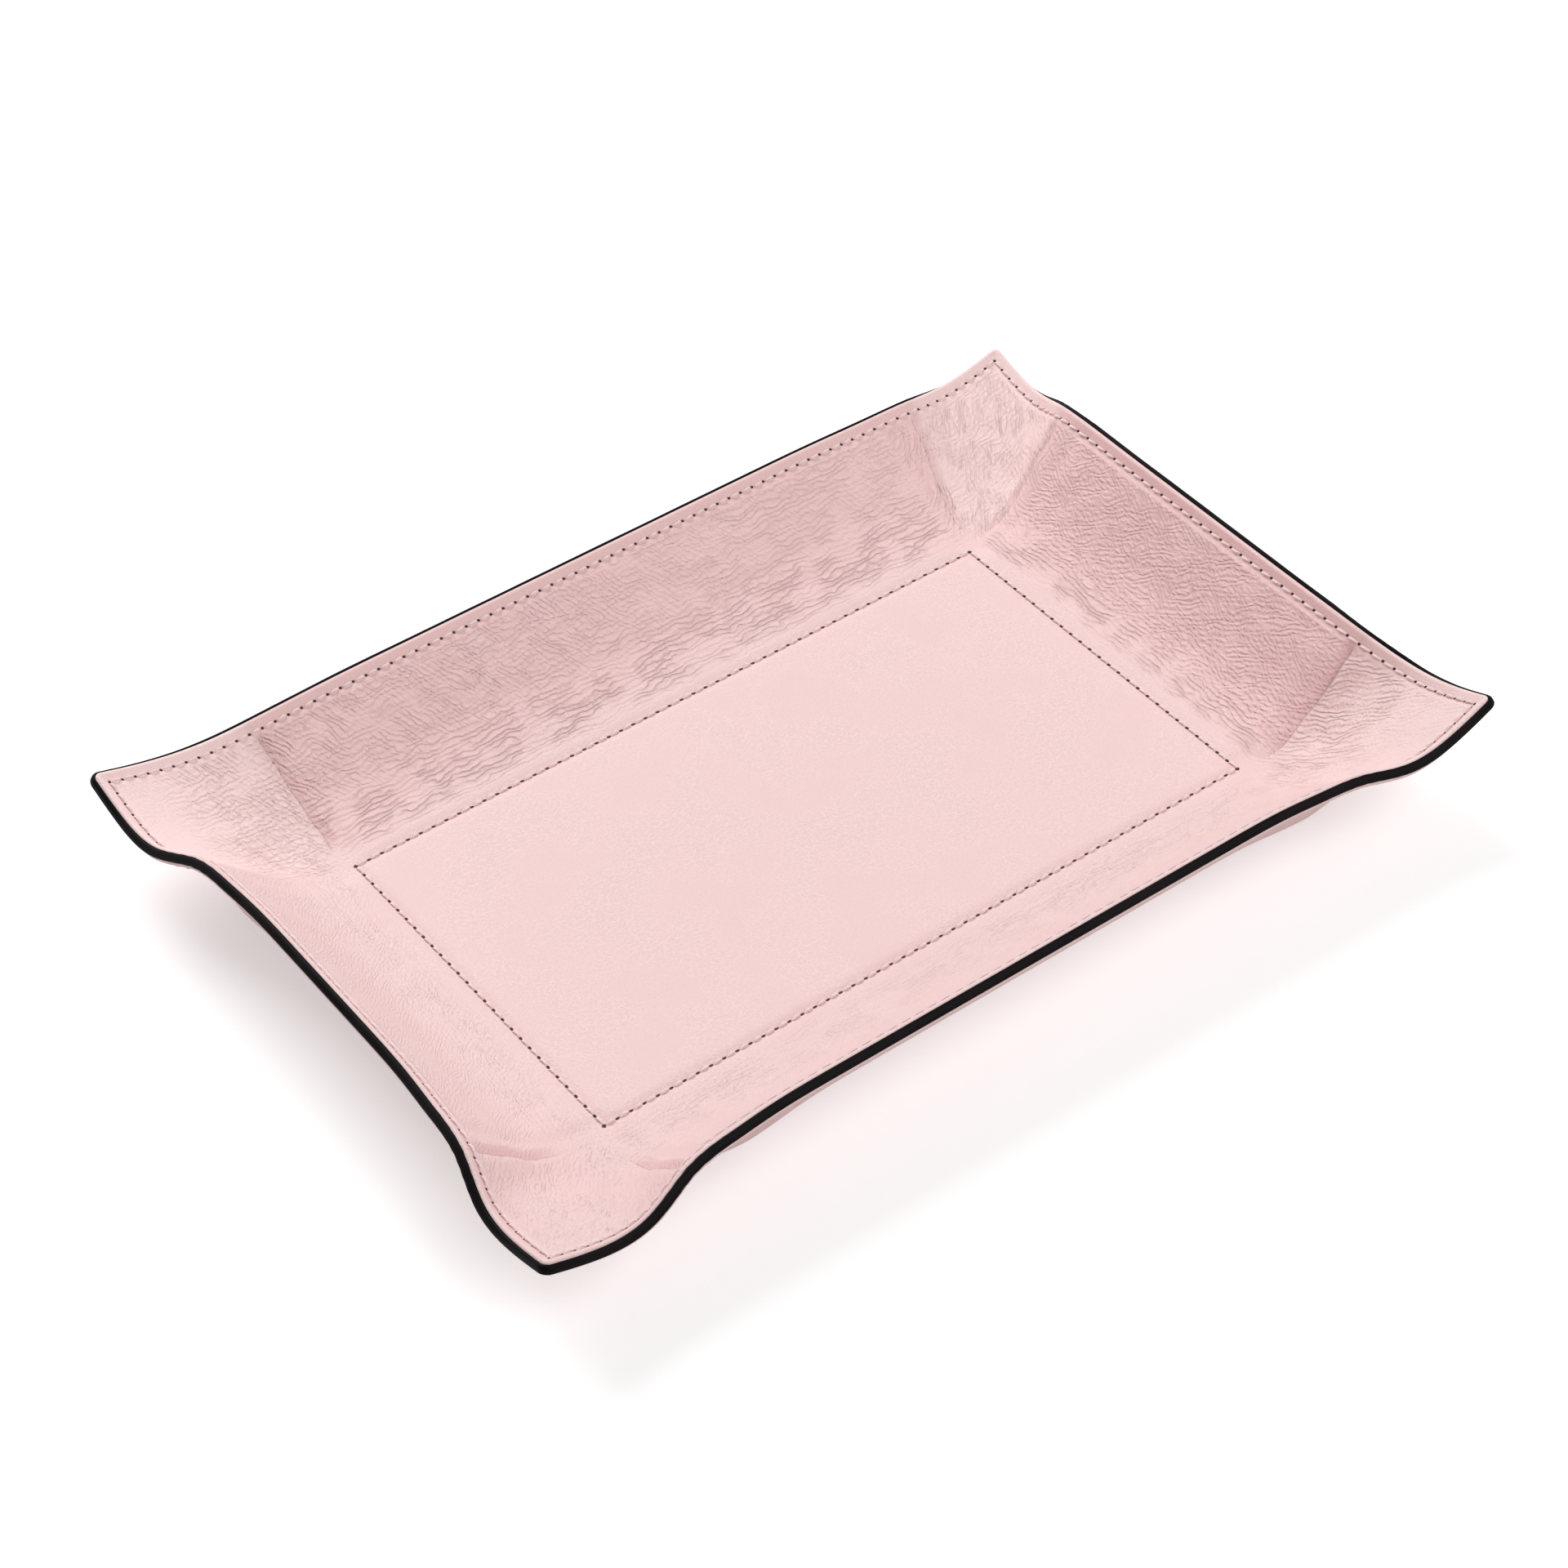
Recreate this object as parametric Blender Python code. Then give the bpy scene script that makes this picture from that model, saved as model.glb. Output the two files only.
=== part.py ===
# Rectangular tray sewn from two leathers: stiffened base, four curved walls and four flared corners.
# The tray starts as a flat sheet, and every piece is placed by its distance along that sheet
# (from the base seam outward) and its depth below the lining's face.

import math

import bmesh
import bpy
import numpy as np


# Sizes of the flat sheet, along the leather
BASE_LENGTH = 0.180
BASE_WIDTH = 0.100
WALL_WIDTH = 0.045
RIM_SEAM_INSET = 0.0030
TIP_RADIUS = 0.0028

# Sizes of the forming
BEND_LENGTH = 0.026
WALL_END_EASE_LENGTH = 0.028
LEAN_FRONT = math.radians(50)
LEAN_BACK = math.radians(34)
LEAN_RIGHT = math.radians(52)
LEAN_LEFT = math.radians(50)
WALL_END_EASE = math.radians(3)
RISE_FRONT_LEFT = math.radians(28)
RISE_FRONT_RIGHT = math.radians(34)
RISE_BACK_RIGHT = math.radians(21)
RISE_BACK_LEFT = math.radians(26)
RIM_EASE_WIDTH = 0.013

# Creases where a wall turns into a corner: angle past the wall's end, and half the turn's width
CREASE_RIGHT_AT_BACK = math.radians(9)
CREASE_RIGHT_AT_FRONT = math.radians(2.5)
CREASE_LEFT_AT_BACK = math.radians(4.5)
CREASE_LEFT_AT_FRONT = math.radians(6)
CREASE_BACK_AT_RIGHT = math.radians(15)
CREASE_BACK_AT_LEFT = math.radians(2.5)
CREASE_FRONT_AT_RIGHT = math.radians(4.5)
CREASE_FRONT_AT_LEFT = math.radians(4.5)
CREASE_HALF_TURN = math.radians(4.5)

# Layers, from the lining's face down
LINING_THICKNESS = 0.0010
OUTER_THICKNESS = 0.0010
BOARD_THICKNESS = 0.0011
LAYER_GAP = 0.0003
PUFF_ABOVE = 0.0005
VALLEY_WIDTH = 0.0030

# Boards
BOARD_SIDE_MARGIN = 0.0060
BOARD_SEAM_MARGIN = 0.0042
BASE_BOARD_MARGIN = 0.0040
BASE_BOARD_CORNER = 0.0040

# Threads
THREAD_RADIUS = 0.00030
THREAD_GAP = 0.00015

# Painted edge
PAINT_GAP = 0.0003
PAINT_THICKNESS = 0.0009

# Shares of the sizes above
BEND_LINEAR_SHARE = 0.5
GUTTER_POWER_SHARE = 3.2
WALL_EASE_POWER_SHARE = 1.5
RIM_EASE_POWER_SHARE = 2.4
RIM_EASE_FADE_SHARE = 0.7
RIM_EASE_LIMIT_SHARE = 1.2
RIM_EASE_STEPS = 4
BEND_ROW_SHARES = (0.29, 0.46, 0.65, 0.85, 1.08)
VALLEY_ROW_SHARE = 0.40
VALLEY_DEPTH_SHARE = 0.35
WALL_STATION_SHARES = (0.50, 0.78)
PAINT_SHOULDER_SHARE = 0.72
PAINT_SHOULDER_DEPTH_SHARE = 0.14
CREASE_RAY_SHARES = (-1.0, -0.45, 0.0, 0.45, 1.0)
GUTTER_RAY_SHARES = (0.30, 0.60, 0.85, 0.96)
PROFILE_STEPS = 24
THREAD_SIDES = 4
CORNER_SEGMENTS = 5
PROBE = 0.00004
SHARP_ANGLE = math.radians(38)

HALF_LENGTH = BASE_LENGTH / 2
HALF_WIDTH = BASE_WIDTH / 2
RIM_SEAM = WALL_WIDTH - RIM_SEAM_INSET
SEAM_STACK = LINING_THICKNESS + LAYER_GAP + OUTER_THICKNESS
PUFF_BELOW = BOARD_THICKNESS + LAYER_GAP - PUFF_ABOVE
STAND = SEAM_STACK + PUFF_BELOW
BOARD_TOP = PUFF_ABOVE - LINING_THICKNESS - LAYER_GAP
BOARD_BOTTOM = BOARD_TOP - BOARD_THICKNESS

LEANS = {"front": LEAN_FRONT, "back": LEAN_BACK, "right": LEAN_RIGHT, "left": LEAN_LEFT}
RISES = {
    (1, 1): RISE_BACK_RIGHT,
    (-1, 1): RISE_BACK_LEFT,
    (1, -1): RISE_FRONT_RIGHT,
    (-1, -1): RISE_FRONT_LEFT,
}
CREASES = {
    ("right", 1): CREASE_RIGHT_AT_BACK,
    ("right", -1): CREASE_RIGHT_AT_FRONT,
    ("left", 1): CREASE_LEFT_AT_BACK,
    ("left", -1): CREASE_LEFT_AT_FRONT,
    ("back", 1): CREASE_BACK_AT_RIGHT,
    ("back", -1): CREASE_BACK_AT_LEFT,
    ("front", 1): CREASE_FRONT_AT_RIGHT,
    ("front", -1): CREASE_FRONT_AT_LEFT,
}


# Forming of the flat sheet

def smooth(t):
    t = np.clip(t, 0.0, 1.0)
    return t * t * (3 - 2 * t)


def bend_share(distance):
    t = np.clip(distance / BEND_LENGTH, 0.0, 1.0)
    return smooth(t) * (1 - BEND_LINEAR_SHARE) + t * BEND_LINEAR_SHARE


def lean_along(wall, place, half):
    past = np.abs(place) - (half - WALL_END_EASE_LENGTH)
    ease = smooth(past / WALL_END_EASE_LENGTH) ** WALL_EASE_POWER_SHARE
    return LEANS[wall] - WALL_END_EASE * ease


def climb(distance, slope):
    steps = (np.arange(PROFILE_STEPS) + 0.5) / PROFILE_STEPS
    angle = slope[:, None] * bend_share(distance[:, None] * steps[None])
    return np.cos(angle).mean(axis=1) * distance, np.sin(angle).mean(axis=1) * distance


def half_corner(ray, lean, crease, rise):
    wall_slope = np.arcsin(np.cos(ray) * np.sin(lean))
    wall_turn = np.arctan2(np.sin(ray), np.cos(ray) * np.cos(lean))
    crease_slope = math.asin(math.cos(crease) * math.sin(lean))
    crease_turn = math.atan2(math.sin(crease), math.cos(crease) * math.cos(lean))
    diagonal = math.pi / 4
    t = (diagonal - ray) / (diagonal - crease)
    gutter_slope = rise + (crease_slope - rise) * np.clip(t, 0.0, None) ** GUTTER_POWER_SHARE
    gutter_turn = diagonal - (diagonal - crease_turn) * t
    half_turn = min(crease, CREASE_HALF_TURN)
    mix = smooth((ray - crease + half_turn) / (2 * half_turn))
    slope = wall_slope * (1 - mix) + gutter_slope * mix
    turn = wall_turn * (1 - mix) + gutter_turn * mix
    return slope, turn


# Names and creases of the two walls that meet in a corner
def corner_walls(sign_x, sign_y):
    wall_x = "right" if sign_x > 0 else "left"
    wall_y = "back" if sign_y > 0 else "front"
    return wall_x, wall_y, CREASES[(wall_x, sign_y)], CREASES[(wall_y, sign_x)]


def corner(ray, sign_x, sign_y):
    wall_x, wall_y, crease_x, crease_y = corner_walls(sign_x, sign_y)
    rise = RISES[(sign_x, sign_y)]
    diagonal = math.pi / 4
    ray_x = np.minimum(ray, diagonal)
    ray_y = np.minimum(2 * diagonal - ray, diagonal)
    slope_a, turn_a = half_corner(ray_x, LEANS[wall_x] - WALL_END_EASE, crease_x, rise)
    slope_b, turn_b = half_corner(ray_y, LEANS[wall_y] - WALL_END_EASE, crease_y, rise)
    first = ray <= diagonal
    return np.where(first, slope_a, slope_b), np.where(first, turn_a, 2 * diagonal - turn_b)


# Place of a point of the flat sheet once the walls and corners are folded up, with sharp creases
def creased(u, v):
    sign_u = np.where(u >= 0, 1, -1)
    sign_v = np.where(v >= 0, 1, -1)
    over_u = np.clip(np.abs(u) - HALF_LENGTH, 0.0, None)
    over_v = np.clip(np.abs(v) - HALF_WIDTH, 0.0, None)
    x = np.minimum(np.abs(u), HALF_LENGTH)
    y = np.minimum(np.abs(v), HALF_WIDTH)
    z = np.zeros_like(x)
    for wall, sign in (("right", 1), ("left", -1)):
        c = (over_u > 0) & (over_v <= 0) & (sign_u == sign)
        out, up = climb(over_u[c], lean_along(wall, v[c], HALF_WIDTH))
        x[c] = HALF_LENGTH + out
        z[c] = up
    for wall, sign in (("back", 1), ("front", -1)):
        c = (over_v > 0) & (over_u <= 0) & (sign_v == sign)
        out, up = climb(over_v[c], lean_along(wall, u[c], HALF_LENGTH))
        y[c] = HALF_WIDTH + out
        z[c] = up
    for sign_x, sign_y in RISES:
        c = (over_u > 0) & (over_v > 0) & (sign_u == sign_x) & (sign_v == sign_y)
        slope, turn = corner(np.arctan2(over_v[c], over_u[c]), sign_x, sign_y)
        out, up = climb(np.hypot(over_u[c], over_v[c]), slope)
        x[c] = HALF_LENGTH + out * np.cos(turn)
        y[c] = HALF_WIDTH + out * np.sin(turn)
        z[c] = up
    return np.stack([x * sign_u, y * sign_v, z + STAND], axis=-1)


# The folded sheet with its creases eased along the rim, more so the farther out they run
def formed(u, v):
    past_u = np.abs(u) - HALF_LENGTH
    past_v = np.abs(v) - HALF_WIDTH
    out = np.clip(np.maximum(past_u, past_v), 0.0, None)
    aside = np.clip(np.minimum(past_u, past_v), 0.0, None)
    from_diagonal = 1 - np.divide(aside, out, out=np.zeros_like(out), where=out > 0)
    fade = smooth(from_diagonal / RIM_EASE_FADE_SHARE)
    outward = np.clip(out / WALL_WIDTH, 0.0, RIM_EASE_LIMIT_SHARE) ** RIM_EASE_POWER_SHARE
    width = RIM_EASE_WIDTH * outward * fade
    along_u = past_v > past_u
    total = np.zeros(u.shape + (3,))
    for step in range(1 - RIM_EASE_STEPS, RIM_EASE_STEPS):
        shift = width * step / RIM_EASE_STEPS
        weight = (RIM_EASE_STEPS - abs(step)) / RIM_EASE_STEPS ** 2
        total += weight * creased(u + np.where(along_u, shift, 0.0), v + np.where(along_u, 0.0, shift))
    return total


# A point of the formed sheet, raised along the surface's normal
def placed(u, v, height):
    along_u = formed(u + PROBE, v) - formed(u - PROBE, v)
    along_v = formed(u, v + PROBE) - formed(u, v - PROBE)
    normal = np.cross(along_u, along_v)
    normal /= np.linalg.norm(normal, axis=-1, keepdims=True)
    return formed(u, v) + normal * height[:, None]


# Stations round the tray, and rows from the base seam to the cut edge

def wall_stations(half):
    ends = [half - BOARD_SIDE_MARGIN]
    ends += [half - WALL_END_EASE_LENGTH * share for share in WALL_STATION_SHARES]
    inner = [0.0]
    for end in sorted(ends):
        if end > inner[-1] + PROBE:
            inner.append(end)
    return [-end for end in reversed(inner[1:])] + inner


def half_rays(crease):
    half_turn = min(crease, CREASE_HALF_TURN)
    rays = [0.0] if crease > half_turn else []
    rays += [crease + half_turn * share for share in CREASE_RAY_SHARES]
    last = crease + half_turn
    return rays + [last + (math.pi / 4 - last) * share for share in GUTTER_RAY_SHARES]


def corner_rays(sign_x, sign_y):
    wall_x, wall_y, crease_x, crease_y = corner_walls(sign_x, sign_y)
    mirrored = [math.pi / 2 - ray for ray in reversed(half_rays(crease_y))]
    return half_rays(crease_x) + [math.pi / 4] + mirrored


# Each station: side kind, place along the wall or ray angle, and the signs of its corner or wall
def stations():
    loop = []
    along = wall_stations(HALF_LENGTH)
    across = wall_stations(HALF_WIDTH)
    loop += [("front", place, 0, -1) for place in along]
    loop += [("corner", ray, 1, -1) for ray in reversed(corner_rays(1, -1))]
    loop += [("right", place, 1, 0) for place in across]
    loop += [("corner", ray, 1, 1) for ray in corner_rays(1, 1)]
    loop += [("back", place, 0, 1) for place in reversed(along)]
    loop += [("corner", ray, -1, 1) for ray in reversed(corner_rays(-1, 1))]
    loop += [("left", place, -1, 0) for place in reversed(across)]
    loop += [("corner", ray, -1, -1) for ray in corner_rays(-1, -1)]
    return loop


def corner_offset(ray, row):
    short = min(ray, math.pi / 2 - ray)
    rounding = max(0.0, row - (WALL_WIDTH - TIP_RADIUS))
    center = row - rounding
    if rounding > 0 and row * math.tan(short) > center:
        spread = center * (math.cos(ray) + math.sin(ray))
        reach = spread + math.sqrt(max(0.0, spread ** 2 - 2 * center ** 2 + rounding ** 2))
        return reach * math.cos(ray), reach * math.sin(ray)
    if ray <= math.pi / 4:
        return row, row * math.tan(ray)
    return row * math.tan(math.pi / 2 - ray), row


def flat_place(station, row):
    kind, place, sign_x, sign_y = station
    if kind in ("front", "back"):
        return place, sign_y * (HALF_WIDTH + row)
    if kind in ("right", "left"):
        return sign_x * (HALF_LENGTH + row), place
    if row <= 0:
        return sign_x * (HALF_LENGTH + row), sign_y * (HALF_WIDTH + row)
    across, along = corner_offset(place, row)
    return sign_x * (HALF_LENGTH + across), sign_y * (HALF_WIDTH + along)


def rows():
    bend = [BEND_LENGTH * share for share in BEND_ROW_SHARES]
    ridge = RIM_SEAM - VALLEY_WIDTH
    middle = [row for row in bend if VALLEY_WIDTH < row < ridge]
    rim = [ridge, RIM_SEAM - VALLEY_WIDTH * VALLEY_ROW_SHARE, RIM_SEAM, WALL_WIDTH]
    return [-VALLEY_WIDTH, 0.0, VALLEY_WIDTH] + middle + rim


# Share of the board's puff that shows at a station and row: none at a seam and none in a corner
def puff(station, row):
    if row >= RIM_SEAM or row == 0:
        return 0.0
    if row > 0 and station[0] == "corner":
        return 0.0
    from_seam = min(abs(row), RIM_SEAM - row)
    if from_seam >= VALLEY_WIDTH * (1 - VALLEY_ROW_SHARE / 2):
        return 1.0
    return VALLEY_DEPTH_SHARE


# Meshes

def new_object(name, mesh, color, roughness):
    mesh.normal_update()
    quads = [face for face in mesh.faces if len(face.verts) == 4]
    bmesh.ops.triangulate(mesh, faces=quads, quad_method="SHORT_EDGE")
    bmesh.ops.recalc_face_normals(mesh, faces=mesh.faces)
    data = bpy.data.meshes.new(name)
    mesh.to_mesh(data)
    mesh.free()
    item = bpy.data.objects.new(name, data)
    bpy.context.collection.objects.link(item)
    data.shade_smooth()
    data.set_sharp_from_angle(angle=SHARP_ANGLE)
    material = bpy.data.materials.new(name + "_finish")
    material.use_nodes = True
    shader = material.node_tree.nodes["Principled BSDF"]
    shader.inputs["Base Color"].default_value = (*color, 1)
    shader.inputs["Roughness"].default_value = roughness
    data.materials.append(material)
    return item


def add_row(mesh, loop, row, heights):
    places = [flat_place(station, row) for station in loop]
    u = np.array([p[0] for p in places])
    v = np.array([p[1] for p in places])
    points = placed(u, v, np.asarray(heights, dtype=float))
    verts = []
    for k, station in enumerate(loop):
        shared = row <= 0 and station[0] == "corner" and k > 0 and loop[k - 1][0] == "corner"
        verts.append(verts[-1] if shared else mesh.verts.new(points[k]))
    return verts


def bridge(mesh, inner, outer):
    count = len(inner)
    for k in range(count):
        n = (k + 1) % count
        face = []
        for vert in (inner[k], outer[k], outer[n], inner[n]):
            if vert not in face:
                face.append(vert)
        if len(face) >= 3:
            mesh.faces.new(face)


def cap(mesh, row):
    mesh.faces.new(list(dict.fromkeys(row)))


def leather(name, top, thickness, puff_height, color, roughness):
    mesh = bmesh.new()
    loop = stations()
    upper = []
    lower = []
    for row in rows():
        heights = np.array([top + puff_height * puff(station, row) for station in loop])
        upper.append(add_row(mesh, loop, row, heights))
        lower.append(add_row(mesh, loop, row, heights - thickness))
    skin = upper + lower[::-1]
    for first, second in zip(skin, skin[1:]):
        bridge(mesh, first, second)
    cap(mesh, skin[0])
    cap(mesh, skin[-1])
    return new_object(name, mesh, color, roughness)


# A closed band round the rim, with its section given as pairs of row and height
def band(name, profile, color, roughness):
    mesh = bmesh.new()
    loop = stations()
    ring = [add_row(mesh, loop, row, np.full(len(loop), height)) for row, height in profile]
    for first, second in zip(ring, ring[1:] + ring[:1]):
        bridge(mesh, first, second)
    return new_object(name, mesh, color, roughness)


def thread_profile(row, height):
    turns = [2 * math.pi * k / THREAD_SIDES for k in range(THREAD_SIDES)]
    return [(row + THREAD_RADIUS * math.cos(t), height + THREAD_RADIUS * math.sin(t)) for t in turns]


# A thread round the base seam, square at its four corners
def base_thread(name, height, color, roughness):
    mesh = bmesh.new()
    ring = []
    for row, level in thread_profile(0.0, height):
        x = HALF_LENGTH + row
        y = HALF_WIDTH + row
        z = STAND + level
        ring.append([mesh.verts.new(p) for p in ((x, y, z), (-x, y, z), (-x, -y, z), (x, -y, z))])
    for first, second in zip(ring, ring[1:] + ring[:1]):
        bridge(mesh, first, second)
    return new_object(name, mesh, color, roughness)


def wall_board(name, wall, color, roughness):
    mesh = bmesh.new()
    along = wall in ("front", "back")
    sign = 1 if wall in ("back", "right") else -1
    half = HALF_LENGTH if along else HALF_WIDTH
    places = [p for p in wall_stations(half) if abs(p) <= half - BOARD_SIDE_MARGIN + PROBE]
    middle = [row for row in rows() if BOARD_SEAM_MARGIN < row < RIM_SEAM - BOARD_SEAM_MARGIN]
    levels = [BOARD_SEAM_MARGIN] + middle + [RIM_SEAM - BOARD_SEAM_MARGIN]
    grids = []
    for height in (BOARD_TOP, BOARD_BOTTOM):
        grid = []
        for row in levels:
            station = [(wall, place, 0 if along else sign, sign if along else 0) for place in places]
            flat = [flat_place(s, row) for s in station]
            u = np.array([p[0] for p in flat])
            v = np.array([p[1] for p in flat])
            points = placed(u, v, np.full(len(flat), height))
            grid.append([mesh.verts.new(p) for p in points])
        grids.append(grid)
    for grid in grids:
        for lower, upper in zip(grid, grid[1:]):
            for k in range(len(places) - 1):
                mesh.faces.new((lower[k], lower[k + 1], upper[k + 1], upper[k]))
    rims = []
    for grid in grids:
        right = [row[-1] for row in grid[1:-1]]
        left = [row[0] for row in grid[1:-1]]
        rims.append(grid[0] + right + grid[-1][::-1] + left[::-1])
    bridge(mesh, rims[0], rims[1])
    return new_object(name, mesh, color, roughness)


def base_board(name, color, roughness):
    mesh = bmesh.new()
    x = HALF_LENGTH - BASE_BOARD_MARGIN - BASE_BOARD_CORNER
    y = HALF_WIDTH - BASE_BOARD_MARGIN - BASE_BOARD_CORNER
    outline = []
    for quarter, (sign_x, sign_y) in enumerate(((1, 1), (-1, 1), (-1, -1), (1, -1))):
        for k in range(CORNER_SEGMENTS + 1):
            turn = math.pi / 2 * (quarter + k / CORNER_SEGMENTS)
            across = BASE_BOARD_CORNER * math.cos(turn)
            along = BASE_BOARD_CORNER * math.sin(turn)
            outline.append((sign_x * x + across, sign_y * y + along))
    loops = []
    for height in (BOARD_TOP, BOARD_BOTTOM):
        loops.append([mesh.verts.new((p[0], p[1], STAND + height)) for p in outline])
    for loop in loops:
        mesh.faces.new(loop)
    bridge(mesh, loops[0], loops[1])
    return new_object(name, mesh, color, roughness)


def build():
    for item in list(bpy.data.objects):
        bpy.data.objects.remove(item, do_unlink=True)

    blush = (0.86, 0.62, 0.60)
    thread_pink = (0.90, 0.70, 0.68)
    grey_board = (0.42, 0.38, 0.34)
    edge_black = (0.012, 0.010, 0.012)

    # Two leathers with the boards between them
    leather("lining", 0.0, LINING_THICKNESS, PUFF_ABOVE, blush, 0.55)
    outer_top = -LINING_THICKNESS - LAYER_GAP
    leather("outer", outer_top, OUTER_THICKNESS, -PUFF_BELOW, blush, 0.55)
    base_board("base_board", grey_board, 0.9)
    for wall in LEANS:
        wall_board(wall + "_board", wall, grey_board, 0.9)

    # Threads of the rim seam and the base seam, one on each face
    above = THREAD_GAP + THREAD_RADIUS
    below = -SEAM_STACK - THREAD_GAP - THREAD_RADIUS
    band("rim_needle_thread", thread_profile(RIM_SEAM, above), thread_pink, 0.6)
    band("rim_bobbin_thread", thread_profile(RIM_SEAM, below), thread_pink, 0.6)
    base_thread("base_needle_thread", above, thread_pink, 0.6)
    base_thread("base_bobbin_thread", below, thread_pink, 0.6)

    # Painted edge: flat against the cut leathers, domed outside
    near = WALL_WIDTH + PAINT_GAP
    shoulder = near + PAINT_THICKNESS * PAINT_SHOULDER_SHARE
    crown = near + PAINT_THICKNESS
    step = SEAM_STACK * PAINT_SHOULDER_DEPTH_SHARE
    section = [
        (near, 0.0),
        (shoulder, -step),
        (crown, -SEAM_STACK / 2),
        (shoulder, step - SEAM_STACK),
        (near, -SEAM_STACK),
    ]
    band("edge_paint", section, edge_black, 0.35)


build()
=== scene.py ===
# Rectangular tray of two leathers sewn over boards, with a black painted edge.
# Lengths are in metres. u runs along the flat sheet's length and v across its width:
# each piece is cut and sewn flat, and formedSheet then folds it up into walls and corners.

import math

import bmesh
import bpy
import numpy as np
from mathutils import Matrix, Vector, noise


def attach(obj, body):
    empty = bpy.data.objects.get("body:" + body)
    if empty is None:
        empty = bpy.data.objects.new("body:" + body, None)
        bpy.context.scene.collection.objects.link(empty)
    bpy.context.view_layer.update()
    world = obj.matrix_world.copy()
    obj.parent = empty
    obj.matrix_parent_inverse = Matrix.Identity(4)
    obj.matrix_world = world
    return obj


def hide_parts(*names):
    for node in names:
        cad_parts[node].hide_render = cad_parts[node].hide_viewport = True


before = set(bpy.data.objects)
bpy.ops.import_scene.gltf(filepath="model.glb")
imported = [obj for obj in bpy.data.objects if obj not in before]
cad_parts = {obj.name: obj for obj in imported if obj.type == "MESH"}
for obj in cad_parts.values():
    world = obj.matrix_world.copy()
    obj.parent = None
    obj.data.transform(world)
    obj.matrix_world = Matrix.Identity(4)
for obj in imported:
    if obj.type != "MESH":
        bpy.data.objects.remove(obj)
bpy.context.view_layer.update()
scene = bpy.context.scene
print("frame loaded with", len(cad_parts), "nodes")


# Flat sheet and how it is folded up

sheet = {
    "baseLength": 0.180,
    "baseWidth": 0.100,
    "wallWidth": 0.045,
    "rimSeamInset": 0.0030,
    "tipRadius": 0.0020,
    "bendLength": 0.026,
    "endEaseLength": 0.028,
    "rimEaseWidth": 0.013,
    "stand": 0.0032,  # height of the lining's face at the base seam
    "seamStack": 0.0023,  # both leathers and the gap between them
    "leanDegrees": {"front": 50, "back": 34, "right": 52, "left": 50},
    "endEaseDegrees": 3,
    "riseDegrees": {(1, 1): 21, (-1, 1): 26, (1, -1): 34, (-1, -1): 28},
    "creaseDegrees": {  # at either end of each wall
        "right": {1: 9, -1: 2.5},
        "left": {1: 4.5, -1: 6},
        "back": {1: 15, -1: 2.5},
        "front": {1: 4.5, -1: 4.5},
    },
    "creaseHalfTurnDegrees": 2.2,
    "bendLinearShare": 0.5,
    "gutterPower": 3.2,
    "endEasePower": 1.5,
    "rimEasePower": 2.4,
    "rimEaseFadeShare": 0.7,
    "rimEaseLimitShare": 1.2,
    "rimEaseSteps": 4,
    "profileSteps": 20,
    "probe": 0.00004,
}
halfLength = sheet["baseLength"] / 2
halfWidth = sheet["baseWidth"] / 2
wallWidth = sheet["wallWidth"]
cutLength = sheet["baseLength"] + 2 * wallWidth
cutWidth = sheet["baseWidth"] + 2 * wallWidth
rimSeam = wallWidth - sheet["rimSeamInset"]
seamStack = sheet["seamStack"]
diagonal = math.pi / 4


def smooth(t):
    t = np.clip(t, 0.0, 1.0)
    return t * t * (3 - 2 * t)


# 1 at no distance, gone at about twice the spread
def bell(distance, spread):
    return np.exp(-((distance / spread) ** 2))


def bendShare(distance):
    t = np.clip(distance / sheet["bendLength"], 0.0, 1.0)
    return smooth(t) * (1 - sheet["bendLinearShare"]) + t * sheet["bendLinearShare"]


def leanAlong(wall, place, half):
    past = np.abs(place) - (half - sheet["endEaseLength"])
    ease = smooth(past / sheet["endEaseLength"]) ** sheet["endEasePower"]
    return math.radians(sheet["leanDegrees"][wall]) - math.radians(sheet["endEaseDegrees"]) * ease


def climb(distance, slope):
    steps = (np.arange(sheet["profileSteps"]) + 0.5) / sheet["profileSteps"]
    angle = slope[:, None] * bendShare(distance[:, None] * steps[None])
    return np.cos(angle).mean(axis=1) * distance, np.sin(angle).mean(axis=1) * distance


def halfCorner(ray, lean, crease, rise):
    wallSlope = np.arcsin(np.cos(ray) * np.sin(lean))
    wallTurn = np.arctan2(np.sin(ray), np.cos(ray) * np.cos(lean))
    creaseSlope = math.asin(math.cos(crease) * math.sin(lean))
    creaseTurn = math.atan2(math.sin(crease), math.cos(crease) * math.cos(lean))
    t = (diagonal - ray) / (diagonal - crease)
    gutterSlope = rise + (creaseSlope - rise) * np.clip(t, 0.0, None) ** sheet["gutterPower"]
    gutterTurn = diagonal - (diagonal - creaseTurn) * t
    halfTurn = min(crease, math.radians(sheet["creaseHalfTurnDegrees"]))
    mix = smooth((ray - crease + halfTurn) / (2 * halfTurn))
    slope = wallSlope * (1 - mix) + gutterSlope * mix
    turn = wallTurn * (1 - mix) + gutterTurn * mix
    return slope, turn


def cornerWalls(signX, signY):
    wallX = "right" if signX > 0 else "left"
    wallY = "back" if signY > 0 else "front"
    creaseX = math.radians(sheet["creaseDegrees"][wallX][signY])
    creaseY = math.radians(sheet["creaseDegrees"][wallY][signX])
    return wallX, wallY, creaseX, creaseY


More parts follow.
